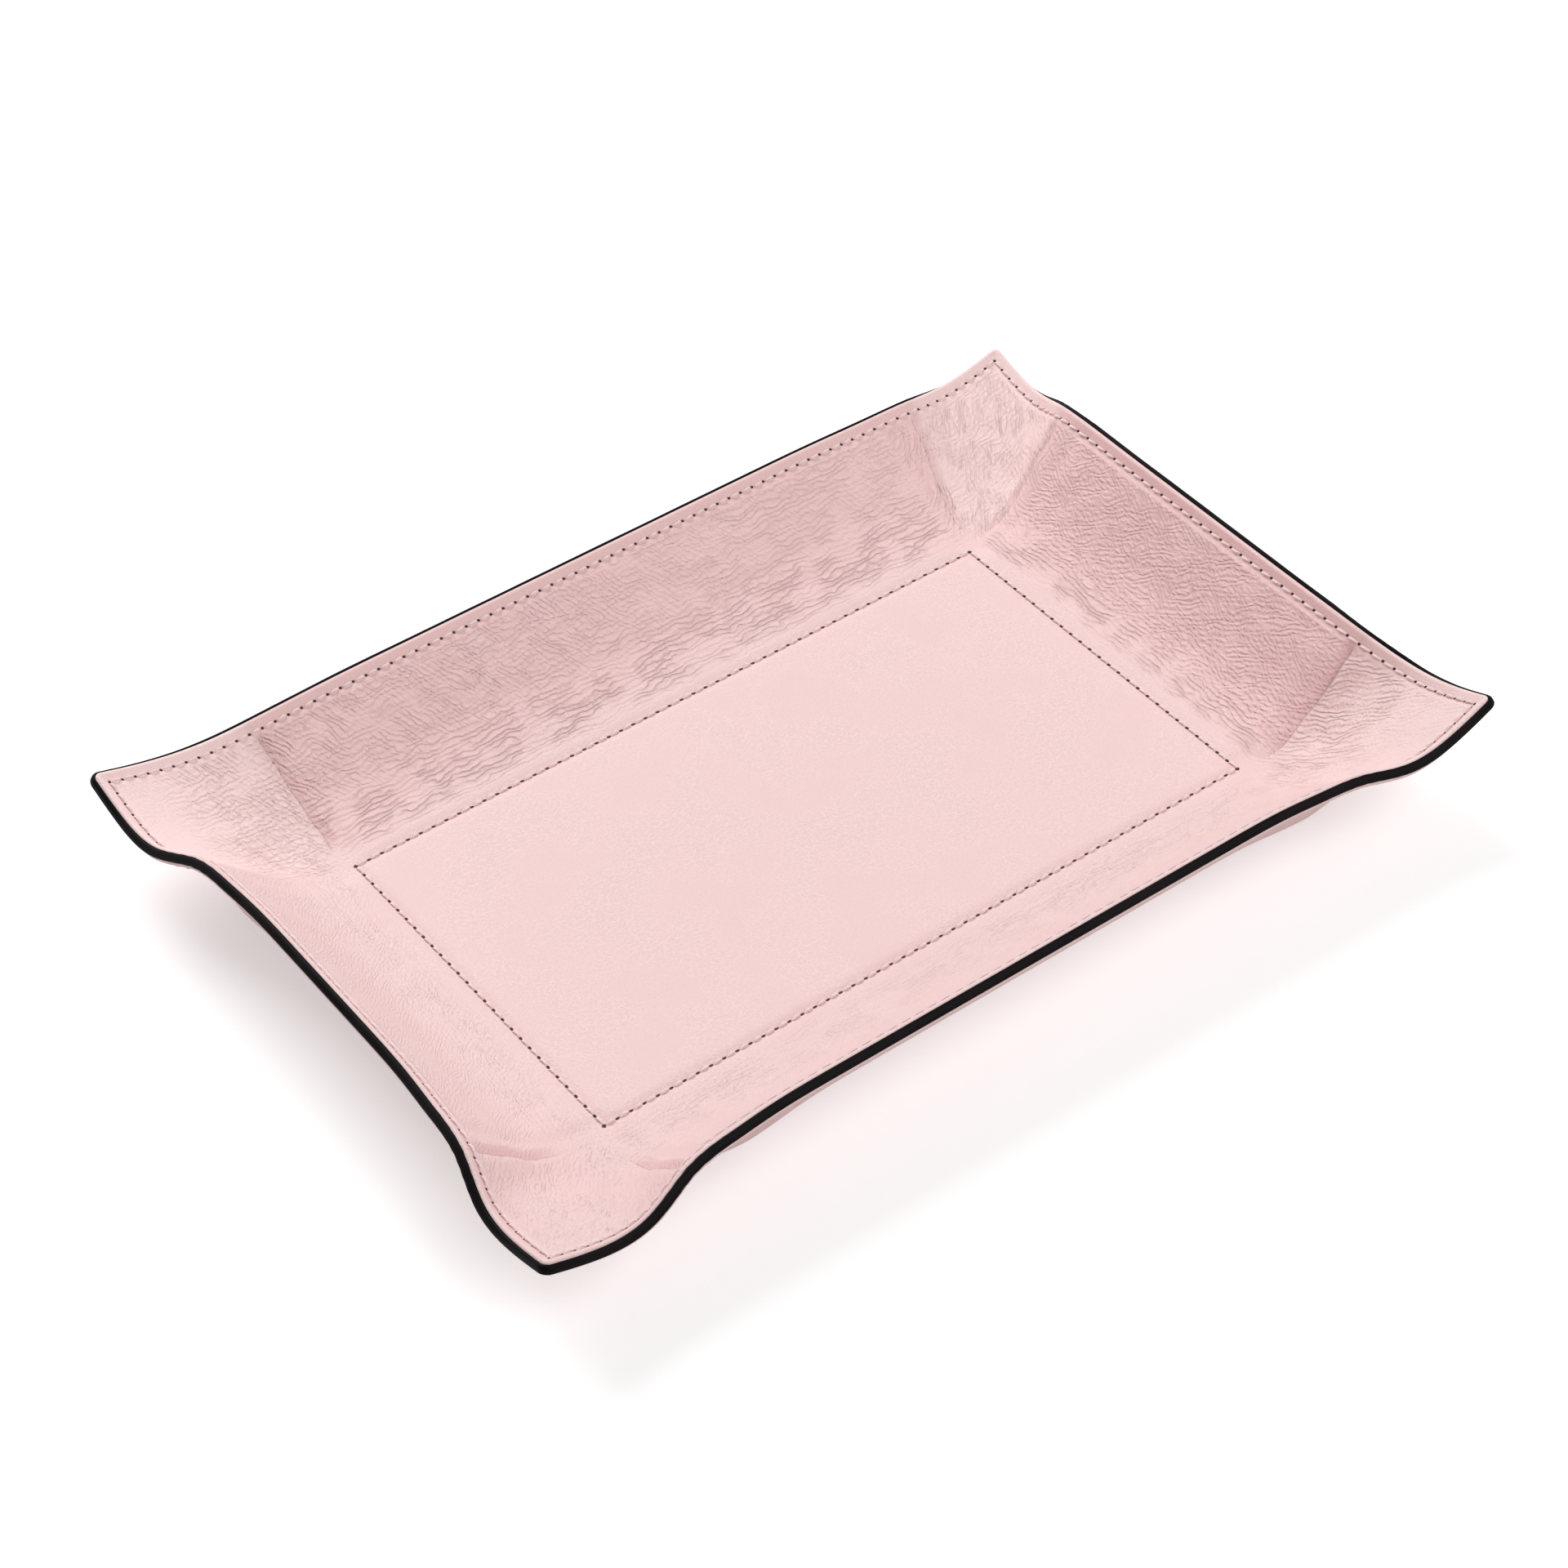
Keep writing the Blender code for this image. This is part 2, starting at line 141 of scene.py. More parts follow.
def cornerFold(ray, signX, signY):
    wallX, wallY, creaseX, creaseY = cornerWalls(signX, signY)
    rise = math.radians(sheet["riseDegrees"][(signX, signY)])
    ease = sheet["endEaseDegrees"]
    leanX = math.radians(sheet["leanDegrees"][wallX] - ease)
    leanY = math.radians(sheet["leanDegrees"][wallY] - ease)
    slopeX, turnX = halfCorner(np.minimum(ray, diagonal), leanX, creaseX, rise)
    slopeY, turnY = halfCorner(np.minimum(2 * diagonal - ray, diagonal), leanY, creaseY, rise)
    first = ray <= diagonal
    return np.where(first, slopeX, slopeY), np.where(first, turnX, 2 * diagonal - turnY)


# Walls and corners folded up with sharp creases
def creasedSheet(u, v):
    signU = np.where(u >= 0, 1, -1)
    signV = np.where(v >= 0, 1, -1)
    overU = np.clip(np.abs(u) - halfLength, 0.0, None)
    overV = np.clip(np.abs(v) - halfWidth, 0.0, None)
    x = np.minimum(np.abs(u), halfLength)
    y = np.minimum(np.abs(v), halfWidth)
    z = np.zeros_like(x)
    for wall, sign in (("right", 1), ("left", -1)):
        here = (overU > 0) & (overV <= 0) & (signU == sign)
        out, up = climb(overU[here], leanAlong(wall, v[here], halfWidth))
        x[here] = halfLength + out
        z[here] = up
    for wall, sign in (("back", 1), ("front", -1)):
        here = (overV > 0) & (overU <= 0) & (signV == sign)
        out, up = climb(overV[here], leanAlong(wall, u[here], halfLength))
        y[here] = halfWidth + out
        z[here] = up
    for signX, signY in sheet["riseDegrees"]:
        here = (overU > 0) & (overV > 0) & (signU == signX) & (signV == signY)
        slope, turn = cornerFold(np.arctan2(overV[here], overU[here]), signX, signY)
        out, up = climb(np.hypot(overU[here], overV[here]), slope)
        x[here] = halfLength + out * np.cos(turn)
        y[here] = halfWidth + out * np.sin(turn)
        z[here] = up
    return np.stack([x * signU, y * signV, z + sheet["stand"]], axis=-1)


# The same fold with its creases eased along the rim
def formedSheet(u, v):
    pastU = np.abs(u) - halfLength
    pastV = np.abs(v) - halfWidth
    out = np.clip(np.maximum(pastU, pastV), 0.0, None)
    aside = np.clip(np.minimum(pastU, pastV), 0.0, None)
    fromDiagonal = 1 - np.divide(aside, out, out=np.zeros_like(out), where=out > 0)
    fade = smooth(fromDiagonal / sheet["rimEaseFadeShare"])
    outward = np.clip(out / wallWidth, 0.0, sheet["rimEaseLimitShare"]) ** sheet["rimEasePower"]
    width = sheet["rimEaseWidth"] * outward * fade
    alongU = pastV > pastU
    total = np.zeros(u.shape + (3,))
    steps = sheet["rimEaseSteps"]
    for step in range(1 - steps, steps):
        shift = width * step / steps
        weight = (steps - abs(step)) / steps**2
        total += weight * creasedSheet(
            u + np.where(alongU, shift, 0.0), v + np.where(alongU, 0.0, shift)
        )
    return total


def surfaceFrame(u, v):
    probe = sheet["probe"]
    alongU = formedSheet(u + probe, v) - formedSheet(u - probe, v)
    alongV = formedSheet(u, v + probe) - formedSheet(u, v - probe)
    normal = np.cross(alongU, alongV)
    normal /= np.linalg.norm(normal, axis=-1, keepdims=True)
    return formedSheet(u, v), normal


def placedOnSheet(u, v, height):
    place, normal = surfaceFrame(u, v)
    return place + normal * np.asarray(height)[:, None]


# Relief that sewing and forming leave on the flat sheet

relief = {
    "puffHeight": 0.0005,  # boards lift the lining
    "puffBelow": 0.0009,  # and push the outer leather down
    "puffWidth": 0.0024,
    "rimPuffStart": 0.0009,
    "rimPuffWidth": 0.0008,
    "padEdgeHeight": 0.00012,
    "padEdgeSpread": 0.0005,
    "puffEndPlace": 0.016,
    "puffEndSpread": 0.012,
    "seamDepth": 0.00022,
    "seamSpread": 0.00075,
    "flangeRise": 0.00048,  # strip past the rim seam turns up
    "puckerDepth": 0.00006,
    "puckerSpread": 0.0012,
    "lipPlace": 0.0443,
    "lipSpread": 0.00035,
    "lipHeight": 0.00012,
    "lipWidth": 0.0006,
    "lipDrop": 0.00042,
    "creaseDepth": 0.00105,
    "creaseSteepWidth": 0.0005,
    "creaseRampWidth": 0.0026,
    "creaseRampPower": 1.3,
    "creaseStarts": {(1, 1): 0.004, (-1, 1): 0.004, (1, -1): 0.004, (-1, -1): 0.010},
    "creaseStartLength": 0.008,
    "creasePastSeam": 0.0006,
    "creaseEndLength": 0.004,
    "creaseReach": 0.0055,
    "creaseReachFade": 0.0020,
    "creaseHook": 0.0024,
    "creaseHookLength": 0.010,
    "creaseMeander": 0.0006,
    "meanderScale": 150,
    "creaseShares": {
        "right": {1: 0.8, -1: 1.0},
        "left": {1: 0.0, -1: 0.9},
        "back": {1: 0.6, -1: 1.0},
        "front": {1: 0.0, -1: 0.9},
    },
    "noCrease": 0.02,  # distance given where no crease is near
    # Painted light and shade: painted shade on the back and right walls (above 0), painted light on
    # the left and front walls and in the corner gutters (below 0)
    "paintedWallShades": {"right": 0.55, "back": 0.42, "left": -0.15, "front": -0.1},
    "paintedGutterLights": {(1, 1): 0.95, (-1, 1): 1.10, (1, -1): 0.80, (-1, -1): 0.0},
    "shadingEdgeWidth": 0.007,
    "waveHeight": 0.00030,
    "waveAlong": 0.0140,
    "waveAcross": 0.0042,
    "waveLeast": 0.02,
    "waveDegrees": {"alongU": 0, "alongV": 90, "rising": 56, "falling": -56},
}
padEdgeRow = rimSeam - relief["rimPuffStart"] - relief["rimPuffWidth"]
seams = {
    "rim": {"row": rimSeam, "longStitches": 75, "shortStitches": 51, "holeLength": 0.00042},
    "base": {"row": 0.0, "longStitches": 51, "shortStitches": 28, "holeLength": 0.00060},
}

# Where a field starts and the width over which it comes in, or goes out if that is below 0
ramps = {
    "wallFoot": (0.0012, 0.0065),
    "wallEnd": (0.0020, -0.0030),
    "rimChannel": (rimSeam - 0.0010, -0.0016),
    "longWall": (0.0, 0.004),
    "lowWall": (0.022, -0.012),
    "highWall": (0.012, 0.014),
    "backLeft": (0.04, -0.08),
    "hatched": (0.006, 0.010),
    "cornerSide": (-0.0005, 0.0030),
    "cornerFoot": (0.001, 0.008),
    "byBack": (0.018, 0.016),
    "byRight": (0.014, 0.018),
    # How the painted light in the gutters and the painted shade on the walls come in
    "gutterLight": (0.0, 0.014),
    "wallShade": (0.0, 0.018),
}

# Strength of each kind of fold on each part of the walls and corners
foldShares = {
    "alongU": {"back": 1.15, "backHigh": -0.45, "front": 0.20, "frontLow": 0.20},
    "alongV": {"right": 0.90, "rightHigh": -0.55, "left": 0.08, "leftLow": 0.22},
    "rising": {"far": 0.62, "near": 0.28, "hatched": 0.62, "byRight": 0.20},
    "falling": {
        "byBack": 0.70, "byRight": 0.80, "hatched": 0.62, "backHigh": 0.35, "backHighLeft": 0.40
    },
    "crossing": {"far": 0.38, "near": 0.14, "byBack": 0.70, "byRight": 0.45},
    "fine": {"left": 0.85, "front": 0.60, "near": 0.70, "far": 0.35, "right": 0.25},
}
cornerFades = {"byBack": 0.80, "byRight": 0.70}  # folds lost towards the tip
storedFields = {
    "wallWrinkles": ("alongU", "alongV", "fine"),
    "cornerWrinkles": ("rising", "falling", "crossing"),
    "creases": ("side", "reach", "paintedShading"),
}


def ramp(name, place):
    start, width = ramps[name]
    return smooth((place - start) / width)


def seamHalves(seam):
    return halfLength + seam["row"], halfWidth + seam["row"]


def seamPitches(seam):
    halfU, halfV = seamHalves(seam)
    return 2 * halfU / seam["longStitches"], 2 * halfV / seam["shortStitches"]


def sheetRows(u, v):
    pastU = np.abs(u) - halfLength
    pastV = np.abs(v) - halfWidth
    return np.maximum(pastU, pastV), np.minimum(pastU, pastV), pastU, pastV


def boardPuff(u, v, settings):
    out, aside = sheetRows(u, v)[:2]
    width = relief["puffWidth"]
    onWall = smooth(out / width)
    onWall *= smooth((rimSeam - relief["rimPuffStart"] - out) / relief["rimPuffWidth"])
    onWall *= smooth((settings["puffEndStart"] - aside) / settings["puffEndWidth"])
    byCorner = bell(aside + relief["puffEndPlace"], relief["puffEndSpread"])
    onWall *= 1 + settings["puffEndShare"] * byCorner * ramp("highWall", out)
    bead = bell(out - padEdgeRow, relief["padEdgeSpread"])
    onWall *= 1 + bead * relief["padEdgeHeight"] / relief["puffHeight"]
    return np.where(out > 0, onWall, smooth(-out / width))


def seamRelief(u, v):
    out, aside, pastU, pastV = sheetRows(u, v)
    toBaseSeam = np.where(aside > 0, np.hypot(pastU, pastV), np.abs(out))
    height = relief["flangeRise"] * smooth((out - rimSeam) / sheet["rimSeamInset"])
    height += relief["lipHeight"] * bell(out - relief["lipPlace"], relief["lipSpread"])
    for seam, distance in ((seams["base"], toBaseSeam), (seams["rim"], np.abs(out - rimSeam))):
        halfU, halfV = seamHalves(seam)
        pitchU, pitchV = seamPitches(seam)
        stitches = np.where(pastV > pastU, (u + halfU) / pitchU, (v + halfV) / pitchV)
        pucker = 0.5 + 0.5 * np.cos(2 * math.pi * stitches)
        height -= relief["seamDepth"] * bell(distance, relief["seamSpread"])
        height -= relief["puckerDepth"] * bell(distance, relief["puckerSpread"]) * pucker
    return height


# Signed distance from the nearest crease, and how strong the crease is there
def creaseField(u, v):
    nearest = np.full_like(u, relief["noCrease"])
    reach = np.zeros_like(u)
    for (signX, signY), first in relief["creaseStarts"].items():
        wallX, wallY, creaseX, creaseY = cornerWalls(signX, signY)
        pastU = u * signX - halfLength
        pastV = v * signY - halfWidth
        seed = signX * 3.1 + signY * 1.7
        for wall, other, crease, along, off in (
            (wallX, signY, creaseX, pastU, pastV),
            (wallY, signX, creaseY, pastV, pastU),
        ):
            share = relief["creaseShares"][wall][other]
            places = along * relief["meanderScale"]
            meander = np.array([noise.noise(Vector((a, seed, crease * 9))) for a in places])
            hook = relief["creaseHook"] * np.exp(-np.clip(along, 0, 1) / relief["creaseHookLength"])
            side = off - along * math.tan(crease) - hook - relief["creaseMeander"] * meander
            here = share * smooth((along - first) / relief["creaseStartLength"])
            toEnd = rimSeam + relief["creasePastSeam"] - along
            here *= smooth(toEnd / relief["creaseEndLength"])
            here *= smooth((relief["creaseReach"] - np.abs(side)) / relief["creaseReachFade"])
            closer = (np.abs(side) < np.abs(nearest)) & (along > 0) & (share > 0)
            nearest = np.where(closer, side * other, nearest)
            reach = np.where(closer, here, reach)
    return nearest, reach


# Painted light and shade by how each part faces the lamps: painted shade deepens the back and right
# walls (above 0), painted light makes the left and front walls and the corner gutters paler (below
# 0)
def wallAndGutterShading(u, v):
    out, _, pastU, pastV = sheetRows(u, v)
    width = relief["shadingEdgeWidth"]
    paintedShading = np.zeros_like(u)
    for (signX, signY), gutterLight in relief["paintedGutterLights"].items():
        wallX, wallY, creaseX, creaseY = cornerWalls(signX, signY)
        beyondX = pastV - pastU * math.tan(creaseX) + width / 3
        beyondY = pastU - pastV * math.tan(creaseY) + width / 3
        gutter = smooth(beyondX / width) * smooth(beyondY / width) * ramp("gutterLight", out)
        wall = np.where(pastV > pastU, relief["paintedWallShades"][wallY], relief["paintedWallShades"][wallX])
        wall = wall * ramp("wallShade", out) * (1 - gutter)
        here = (u * signX >= 0) & (v * signY >= 0)
        paintedShading = np.where(here, wall - gutterLight * gutter, paintedShading)
    return paintedShading


# Strength of each kind of fold, the creases and the painted light and shade over the flat sheet
def leatherFields(u, v):
    out, aside, pastU, pastV = sheetRows(u, v)
    rim = ramp("rimChannel", out)
    high = ramp("highWall", out)
    low = ramp("lowWall", out)
    alongU = ramp("longWall", pastV - pastU)
    wall = ramp("wallFoot", out) * rim * ramp("wallEnd", aside)
    corner = ramp("cornerSide", aside) * ramp("cornerFoot", out) * rim
    masks = {
        "back": wall * alongU * (v > 0),
        "front": wall * alongU * (v < 0),
        "right": wall * (1 - alongU) * (u > 0),
        "left": wall * (1 - alongU) * (u < 0),
        "far": corner * (u > 0) * (v > 0),
        "near": corner * (u < 0) * (v < 0),
        "byBack": corner * (u < 0) * (v > 0),
        "byRight": corner * (u > 0) * (v < 0),
    }
    masks["byBack"] *= 1 - cornerFades["byBack"] * ramp("byBack", pastU)
    masks["byRight"] *= 1 - cornerFades["byRight"] * ramp("byRight", pastV)
    masks["backHigh"] = masks["back"] * high
    masks["backHighLeft"] = masks["backHigh"] * ramp("backLeft", u)
    masks["frontLow"] = masks["front"] * low
    masks["rightHigh"] = masks["right"] * high
    masks["leftLow"] = masks["left"] * low
    masks["hatched"] = masks["right"] * ramp("hatched", out)
    fields = {"paintedShading": wallAndGutterShading(u, v)}
    fields["side"], fields["reach"] = creaseField(u, v)
    for kind, shares in foldShares.items():
        fields[kind] = sum(share * masks[place] for place, share in shares.items())
    return fields


def creaseRelief(fields):
    side = fields["side"]
    steep = np.exp(np.minimum(side / relief["creaseSteepWidth"], 0.0))
    slope = np.clip(1 - side / relief["creaseRampWidth"], 0.0, 1.0) ** relief["creaseRampPower"]
    return -relief["creaseDepth"] * fields["reach"] * np.minimum(steep, slope)


def formingWaves(u, v, fields):
    height = np.zeros_like(u)
    for kind, degrees in relief["waveDegrees"].items():
        strength = fields[kind]
        turn = math.radians(degrees)
        cosine, sine = math.cos(turn), math.sin(turn)
        along = (u * cosine + v * sine) / relief["waveAlong"]
        across = (v * cosine - u * sine) / relief["waveAcross"]
        for k in np.nonzero(strength > relief["waveLeast"])[0]:
            place = Vector((along[k], across[k], degrees + 0.37))
            height[k] += strength[k] * noise.noise(place)
    return relief["waveHeight"] * height


# Meshes

grid = {
    "fineMargin": 0.006,  # finer faces start this far inside the base seam
    "rowGather": 0.38,  # how much the rows gather towards the rim
    "uvSpan": 0.28,  # length that the UV square stands for
}


def cutSheet(mesh, spacing, level, fineOutside=False):
    made = bmesh.ops.create_grid(
        mesh, x_segments=round(cutLength / spacing), y_segments=round(cutWidth / spacing), size=1
    )
    verts = made["verts"]
    bmesh.ops.scale(mesh, vec=(cutLength / 2, cutWidth / 2, 1), verts=verts)
    bmesh.ops.translate(mesh, vec=(0, 0, level), verts=verts)
    if fineOutside:
        fineU, fineV = halfLength - grid["fineMargin"], halfWidth - grid["fineMargin"]
        edges = {}
        for face in mesh.faces:
            middle = face.calc_center_median()
            if abs(middle.x) > fineU or abs(middle.y) > fineV:
                edges.update(dict.fromkeys(face.edges))
        bmesh.ops.subdivide_edges(mesh, edges=list(edges), cuts=1, use_grid_fill=True)


# Rows of the cut grid drawn closer together near the rim
def gatheredRows(place, half):
    past = np.clip(np.abs(place) - half, 0.0, None)
    t = past / wallWidth
    moved = wallWidth * (t + grid["rowGather"] * t * (1 - t))
    return np.where(past > 0, np.sign(place) * (half + moved), place)


def roundedTips(u, v):
    radius = sheet["tipRadius"]
    tipU, tipV = cutLength / 2 - radius, cutWidth / 2 - radius
    a = np.abs(u) - tipU
    b = np.abs(v) - tipV
    inTip = (a > 0) & (b > 0)
    shrink = np.where(inTip, np.maximum(a, b) / np.maximum(np.hypot(a, b), 1e-9), 1.0)
    newU = np.where(inTip, (tipU + a * shrink) * np.sign(u), u)
    newV = np.where(inTip, (tipV + b * shrink) * np.sign(v), v)
    return newU, newV


def meshData(name, mesh):
    data = bpy.data.meshes.new(name)
    mesh.to_mesh(data)
    mesh.free()
    return data


def newObject(name, data):
    item = bpy.data.objects.new(name, data)
    scene.collection.objects.link(item)
    return item


def finishObject(name, mesh, material, slotName, *nodes):
    item = newObject(name, mesh)
    mesh.shade_smooth()
    mesh.materials.append(material)
    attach(item, "root")
    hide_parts(*nodes)
    print(name, "has", len(mesh.polygons), "faces")
    return item


def storeFlatPlace(mesh, u, v):
    corners = np.zeros(len(mesh.loops), int)
    mesh.loops.foreach_get("vertex_index", corners)
    layer = mesh.uv_layers.new(name="flatSheet")
    flat = np.stack([u[corners], v[corners]], axis=-1) / grid["uvSpan"] + 0.5
    layer.uv.foreach_set("vector", flat.astype(np.float32).ravel())


def storeFields(mesh, fields):
    for name, kinds in storedFields.items():
        attribute = mesh.attributes.new(name, "FLOAT_COLOR", "POINT")
        columns = [fields[kind] for kind in kinds]
        data = np.stack([*columns, np.ones_like(columns[0])], axis=-1)
        attribute.data.foreach_set("color", data.astype(np.float32).ravel())


def leatherShell(name, settings):
    mesh = bmesh.new()
    cutSheet(mesh, settings["faceSpacing"], 0, fineOutside=True)
    cutSheet(mesh, settings["hiddenSpacing"], -1)
    rimEdges = [edge for edge in mesh.edges if edge.is_boundary]
    bmesh.ops.bridge_loops(mesh, edges=rimEdges)
    bmesh.ops.recalc_face_normals(mesh, faces=mesh.faces)
    data = meshData(name, mesh)
    flat = np.zeros(len(data.vertices) * 3)
    data.vertices.foreach_get("co", flat)
    flat = flat.reshape(-1, 3)
    gatheredU = gatheredRows(flat[:, 0], halfLength)
    gatheredV = gatheredRows(flat[:, 1], halfWidth)
    ring = sheetRows(gatheredU, gatheredV)[0]
    u, v = roundedTips(gatheredU, gatheredV)
    fields = leatherFields(u, v)
    storeFlatPlace(data, u, v)
    storeFields(data, fields)
    lip = np.clip((ring - (wallWidth - relief["lipWidth"])) / relief["lipWidth"], 0, 1) ** 2
    shape = seamRelief(u, v) + formingWaves(u, v, fields) * settings["waveShare"]
    sign = settings["facing"]
    face = settings["faceHeight"] + sign * (shape - relief["lipDrop"] * lip)
    hidden = settings["faceHeight"] - sign * settings["thickness"]
    height = np.where(flat[:, 2] > -0.5, face, hidden)  # cut at 0 and at -1
    height += sign * boardPuff(u, v, settings) * settings["puffHeight"]
    height += creaseRelief(fields) * settings["creaseShare"]
    place = placedOnSheet(u, v, height)
    data.vertices.foreach_set("co", place.astype(np.float32).ravel())
    data.update()
    return data


# Node groups and materials


def feed(tree, socket, value):
    if isinstance(value, bpy.types.NodeSocket):
        tree.links.new(value, socket)
    else:
        socket.default_value = value


def addNode(tree, kind, values=(), **settings):
    node = tree.nodes.new("ShaderNode" + kind)
    for key, value in settings.items():
        setattr(node, key, value)
    for label, value in dict(values).items():
        feed(tree, node.inputs[label], value)
    return node


def calc(tree, operation, *values, kind="Math"):
    node = addNode(tree, kind, operation=operation)
    for socket, value in zip(node.inputs, values):
        feed(tree, socket, value)
    return node.outputs[0]


def vectorCalc(tree, operation, *values):
    return calc(tree, operation, *values, kind="VectorMath")


# One value from several, taken two at a time
def combine(tree, operation, values):
    result, *others = values
    for value in others:
        result = calc(tree, operation, result, value)
    return result


def split(tree, vector):
    return addNode(tree, "SeparateXYZ", {"Vector": vector}).outputs


def joined(tree, x, y):
    return addNode(tree, "CombineXYZ", {"X": x, "Y": y}).outputs["Vector"]


def noiseOver(tree, place, scale, detail=1.0, roughness=0.5, **settings):
    values = {"Vector": place, "Scale": scale, "Detail": detail, "Roughness": roughness}
    return addNode(tree, "TexNoise", values, **settings).outputs


def dress(tree, shader, *values):
    labels = ("Base Color", "Roughness", "Normal", "Specular IOR Level")
    for label, value in zip(labels, values):
        feed(tree, shader.inputs[label], value)


def fade(tree, value, low, high, bottom=0.0, top=1.0):
    node = addNode(
        tree,
        "MapRange",
        {"Value": value, "From Min": low, "From Max": high, "To Min": bottom, "To Max": top},
        interpolation_type="SMOOTHSTEP",
    )
    return node.outputs["Result"]


# A Place is a vector, and every other socket is a number
def makeGroup(name, inputs, output):
    tree = bpy.data.node_groups.new(name, "ShaderNodeTree")
    for label, value in inputs.items():
        if label == "Place":
            tree.interface.new_socket(label, in_out="INPUT", socket_type="NodeSocketVector")
        else:
            socket = tree.interface.new_socket(label, in_out="INPUT", socket_type="NodeSocketFloat")
            socket.default_value = value
    kind = "NodeSocketVector" if output == "Place" else "NodeSocketFloat"
    tree.interface.new_socket(output, in_out="OUTPUT", socket_type=kind)
    start = tree.nodes.new("NodeGroupInput").outputs
    end = tree.nodes.new("NodeGroupOutput").inputs
    return tree, start, end[output]


def useGroup(tree, group, values):
    node = tree.nodes.new("ShaderNodeGroup")
    node.node_tree = group
    for label, value in values.items():
        feed(tree, node.inputs[label], value)
    return node.outputs[0]


# Smooth folds that run one way, with forks and ends, in patches: 1 on top of the folds
def makeWrinkles():
    tree, start, height = makeGroup(
        "leatherWrinkles",
        {
            "Place": None, "Turn": 0.0, "Length": 0.0060, "Width": 0.0016,
            "Wander": 2.1, "Wander Share": 0.45, "Roundness": 1.2, "Patch Size": 0.009,
            "Between Patches": 0.35, "Strength": 1.0, "Seed": 0.0,
        },
        "Height",
    )
    turned = addNode(
        tree,
        "VectorRotate",
        {"Vector": start["Place"], "Angle": start["Turn"]},
        rotation_type="Z_AXIS",
    )
    parts = split(tree, turned.outputs["Vector"])
    along = calc(tree, "DIVIDE", parts["X"], start["Length"])
    along = calc(tree, "ADD", along, start["Seed"])
    across = calc(tree, "DIVIDE", parts["Y"], start["Width"])
    aside = calc(tree, "MULTIPLY", across, start["Wander Share"])
    place = joined(tree, along, aside)
    drift = noiseOver(tree, place, 1.0, 2.0, 0.45, noise_dimensions="2D")["Fac"]
    centred = calc(tree, "SUBTRACT", drift, 0.5)
    phase = calc(tree, "MULTIPLY_ADD", centred, start["Wander"], across)
    wave = calc(tree, "SINE", calc(tree, "MULTIPLY", phase, 2 * math.pi))
    low = calc(tree, "MAXIMUM", calc(tree, "MULTIPLY_ADD", wave, -0.5, 0.5), 0.0)
    low = calc(tree, "POWER", low, start["Roundness"])
    apart = joined(tree, start["Seed"], start["Seed"])
    shifted = vectorCalc(tree, "ADD", start["Place"], apart)
    patchScale = calc(tree, "DIVIDE", 1.0, start["Patch Size"])
    patches = noiseOver(tree, shifted, patchScale, noise_dimensions="2D")["Fac"]
    shown = fade(tree, patches, 0.36, 0.54, start["Between Patches"], 1.0)
    missing = combine(tree, "MULTIPLY", (low, shown, start["Strength"]))
    feed(tree, height, calc(tree, "SUBTRACT", 1.0, missing))
    return tree


# The flat place bent a little, so that the wrinkles wander
def makeWander():
    tree, start, end = makeGroup(
        "wanderingPlace", {"Place": None, "Wide Amount": 0.0024, "Fine Amount": 0.0005}, "Place"
    )
    moved = start["Place"]
    for scale, amount in ((95.0, "Wide Amount"), (520.0, "Fine Amount")):
        drift = noiseOver(tree, start["Place"], scale)["Color"]
        centred = vectorCalc(tree, "SUBTRACT", drift, (0.5, 0.5, 0.5))
        values = {0: centred, "Scale": start[amount]}
        step = addNode(tree, "VectorMath", values, operation="SCALE").outputs[0]
        moved = vectorCalc(tree, "ADD", moved, step)
    feed(tree, end, moved)
    return tree


# Fine grain of the leather's face: veins round shallow cells, and small pits
def makeGrain():
    tree, start, height = makeGroup(
        "leatherGrain",
        {
            "Place": None, "Cell Size": 0.0013, "Cell Unevenness": 0.0017,
            "Vein Height": 0.6, "Pore Size": 0.00040, "Pore Share": 1.2,
        },
        "Height",
    )
    uneven = joined(tree, start["Cell Unevenness"], start["Cell Unevenness"])
    nudge = noiseOver(tree, start["Place"], 700.0)["Color"]
    nudge = vectorCalc(tree, "MULTIPLY", nudge, uneven)
    cells = addNode(
        tree,
        "TexVoronoi",
        {
            "Vector": vectorCalc(tree, "ADD", start["Place"], nudge),
            "Scale": calc(tree, "DIVIDE", 1.0, start["Cell Size"]),
        },
        voronoi_dimensions="2D",
        feature="DISTANCE_TO_EDGE",
    )
    veins = fade(tree, cells.outputs["Distance"], 0.0, 0.24, start["Vein Height"], 0.0)
    poreScale = calc(tree, "DIVIDE", 1.0, start["Pore Size"])
    pores = noiseOver(tree, start["Place"], poreScale, 2.0, 0.6)["Fac"]
    patches = noiseOver(tree, start["Place"], 45.0, 3.0, 0.55)["Fac"]
    clear = fade(tree, patches, 0.35, 0.62)
    pits = calc(tree, "MULTIPLY", pores, start["Pore Share"])
    feed(tree, height, calc(tree, "MULTIPLY_ADD", veins, clear, pits))
    return tree


# Sharp line at the bottom of a crease, from the signed distance to it
def makeCreaseLine():
    tree, start, depth = makeGroup(
        "creaseLine",
        {
            "Side": 0.0, "Reach": 0.0, "Steep Width": 0.00022, "Ramp Width": 0.0023,
            "Ramp Power": 0.8,
        },
        "Depth",
    )
    before = calc(tree, "DIVIDE", start["Side"], start["Steep Width"])
    steep = calc(tree, "EXPONENT", calc(tree, "MINIMUM", before, 0.0))
    past = calc(tree, "DIVIDE", start["Side"], start["Ramp Width"])
    left = calc(tree, "MAXIMUM", calc(tree, "SUBTRACT", 1.0, past), 0.0)
    slope = calc(tree, "POWER", calc(tree, "MINIMUM", left, 1.0), start["Ramp Power"])
    lower = calc(tree, "MINIMUM", steep, slope)
    feed(tree, depth, calc(tree, "MULTIPLY", lower, start["Reach"]))
    return tree


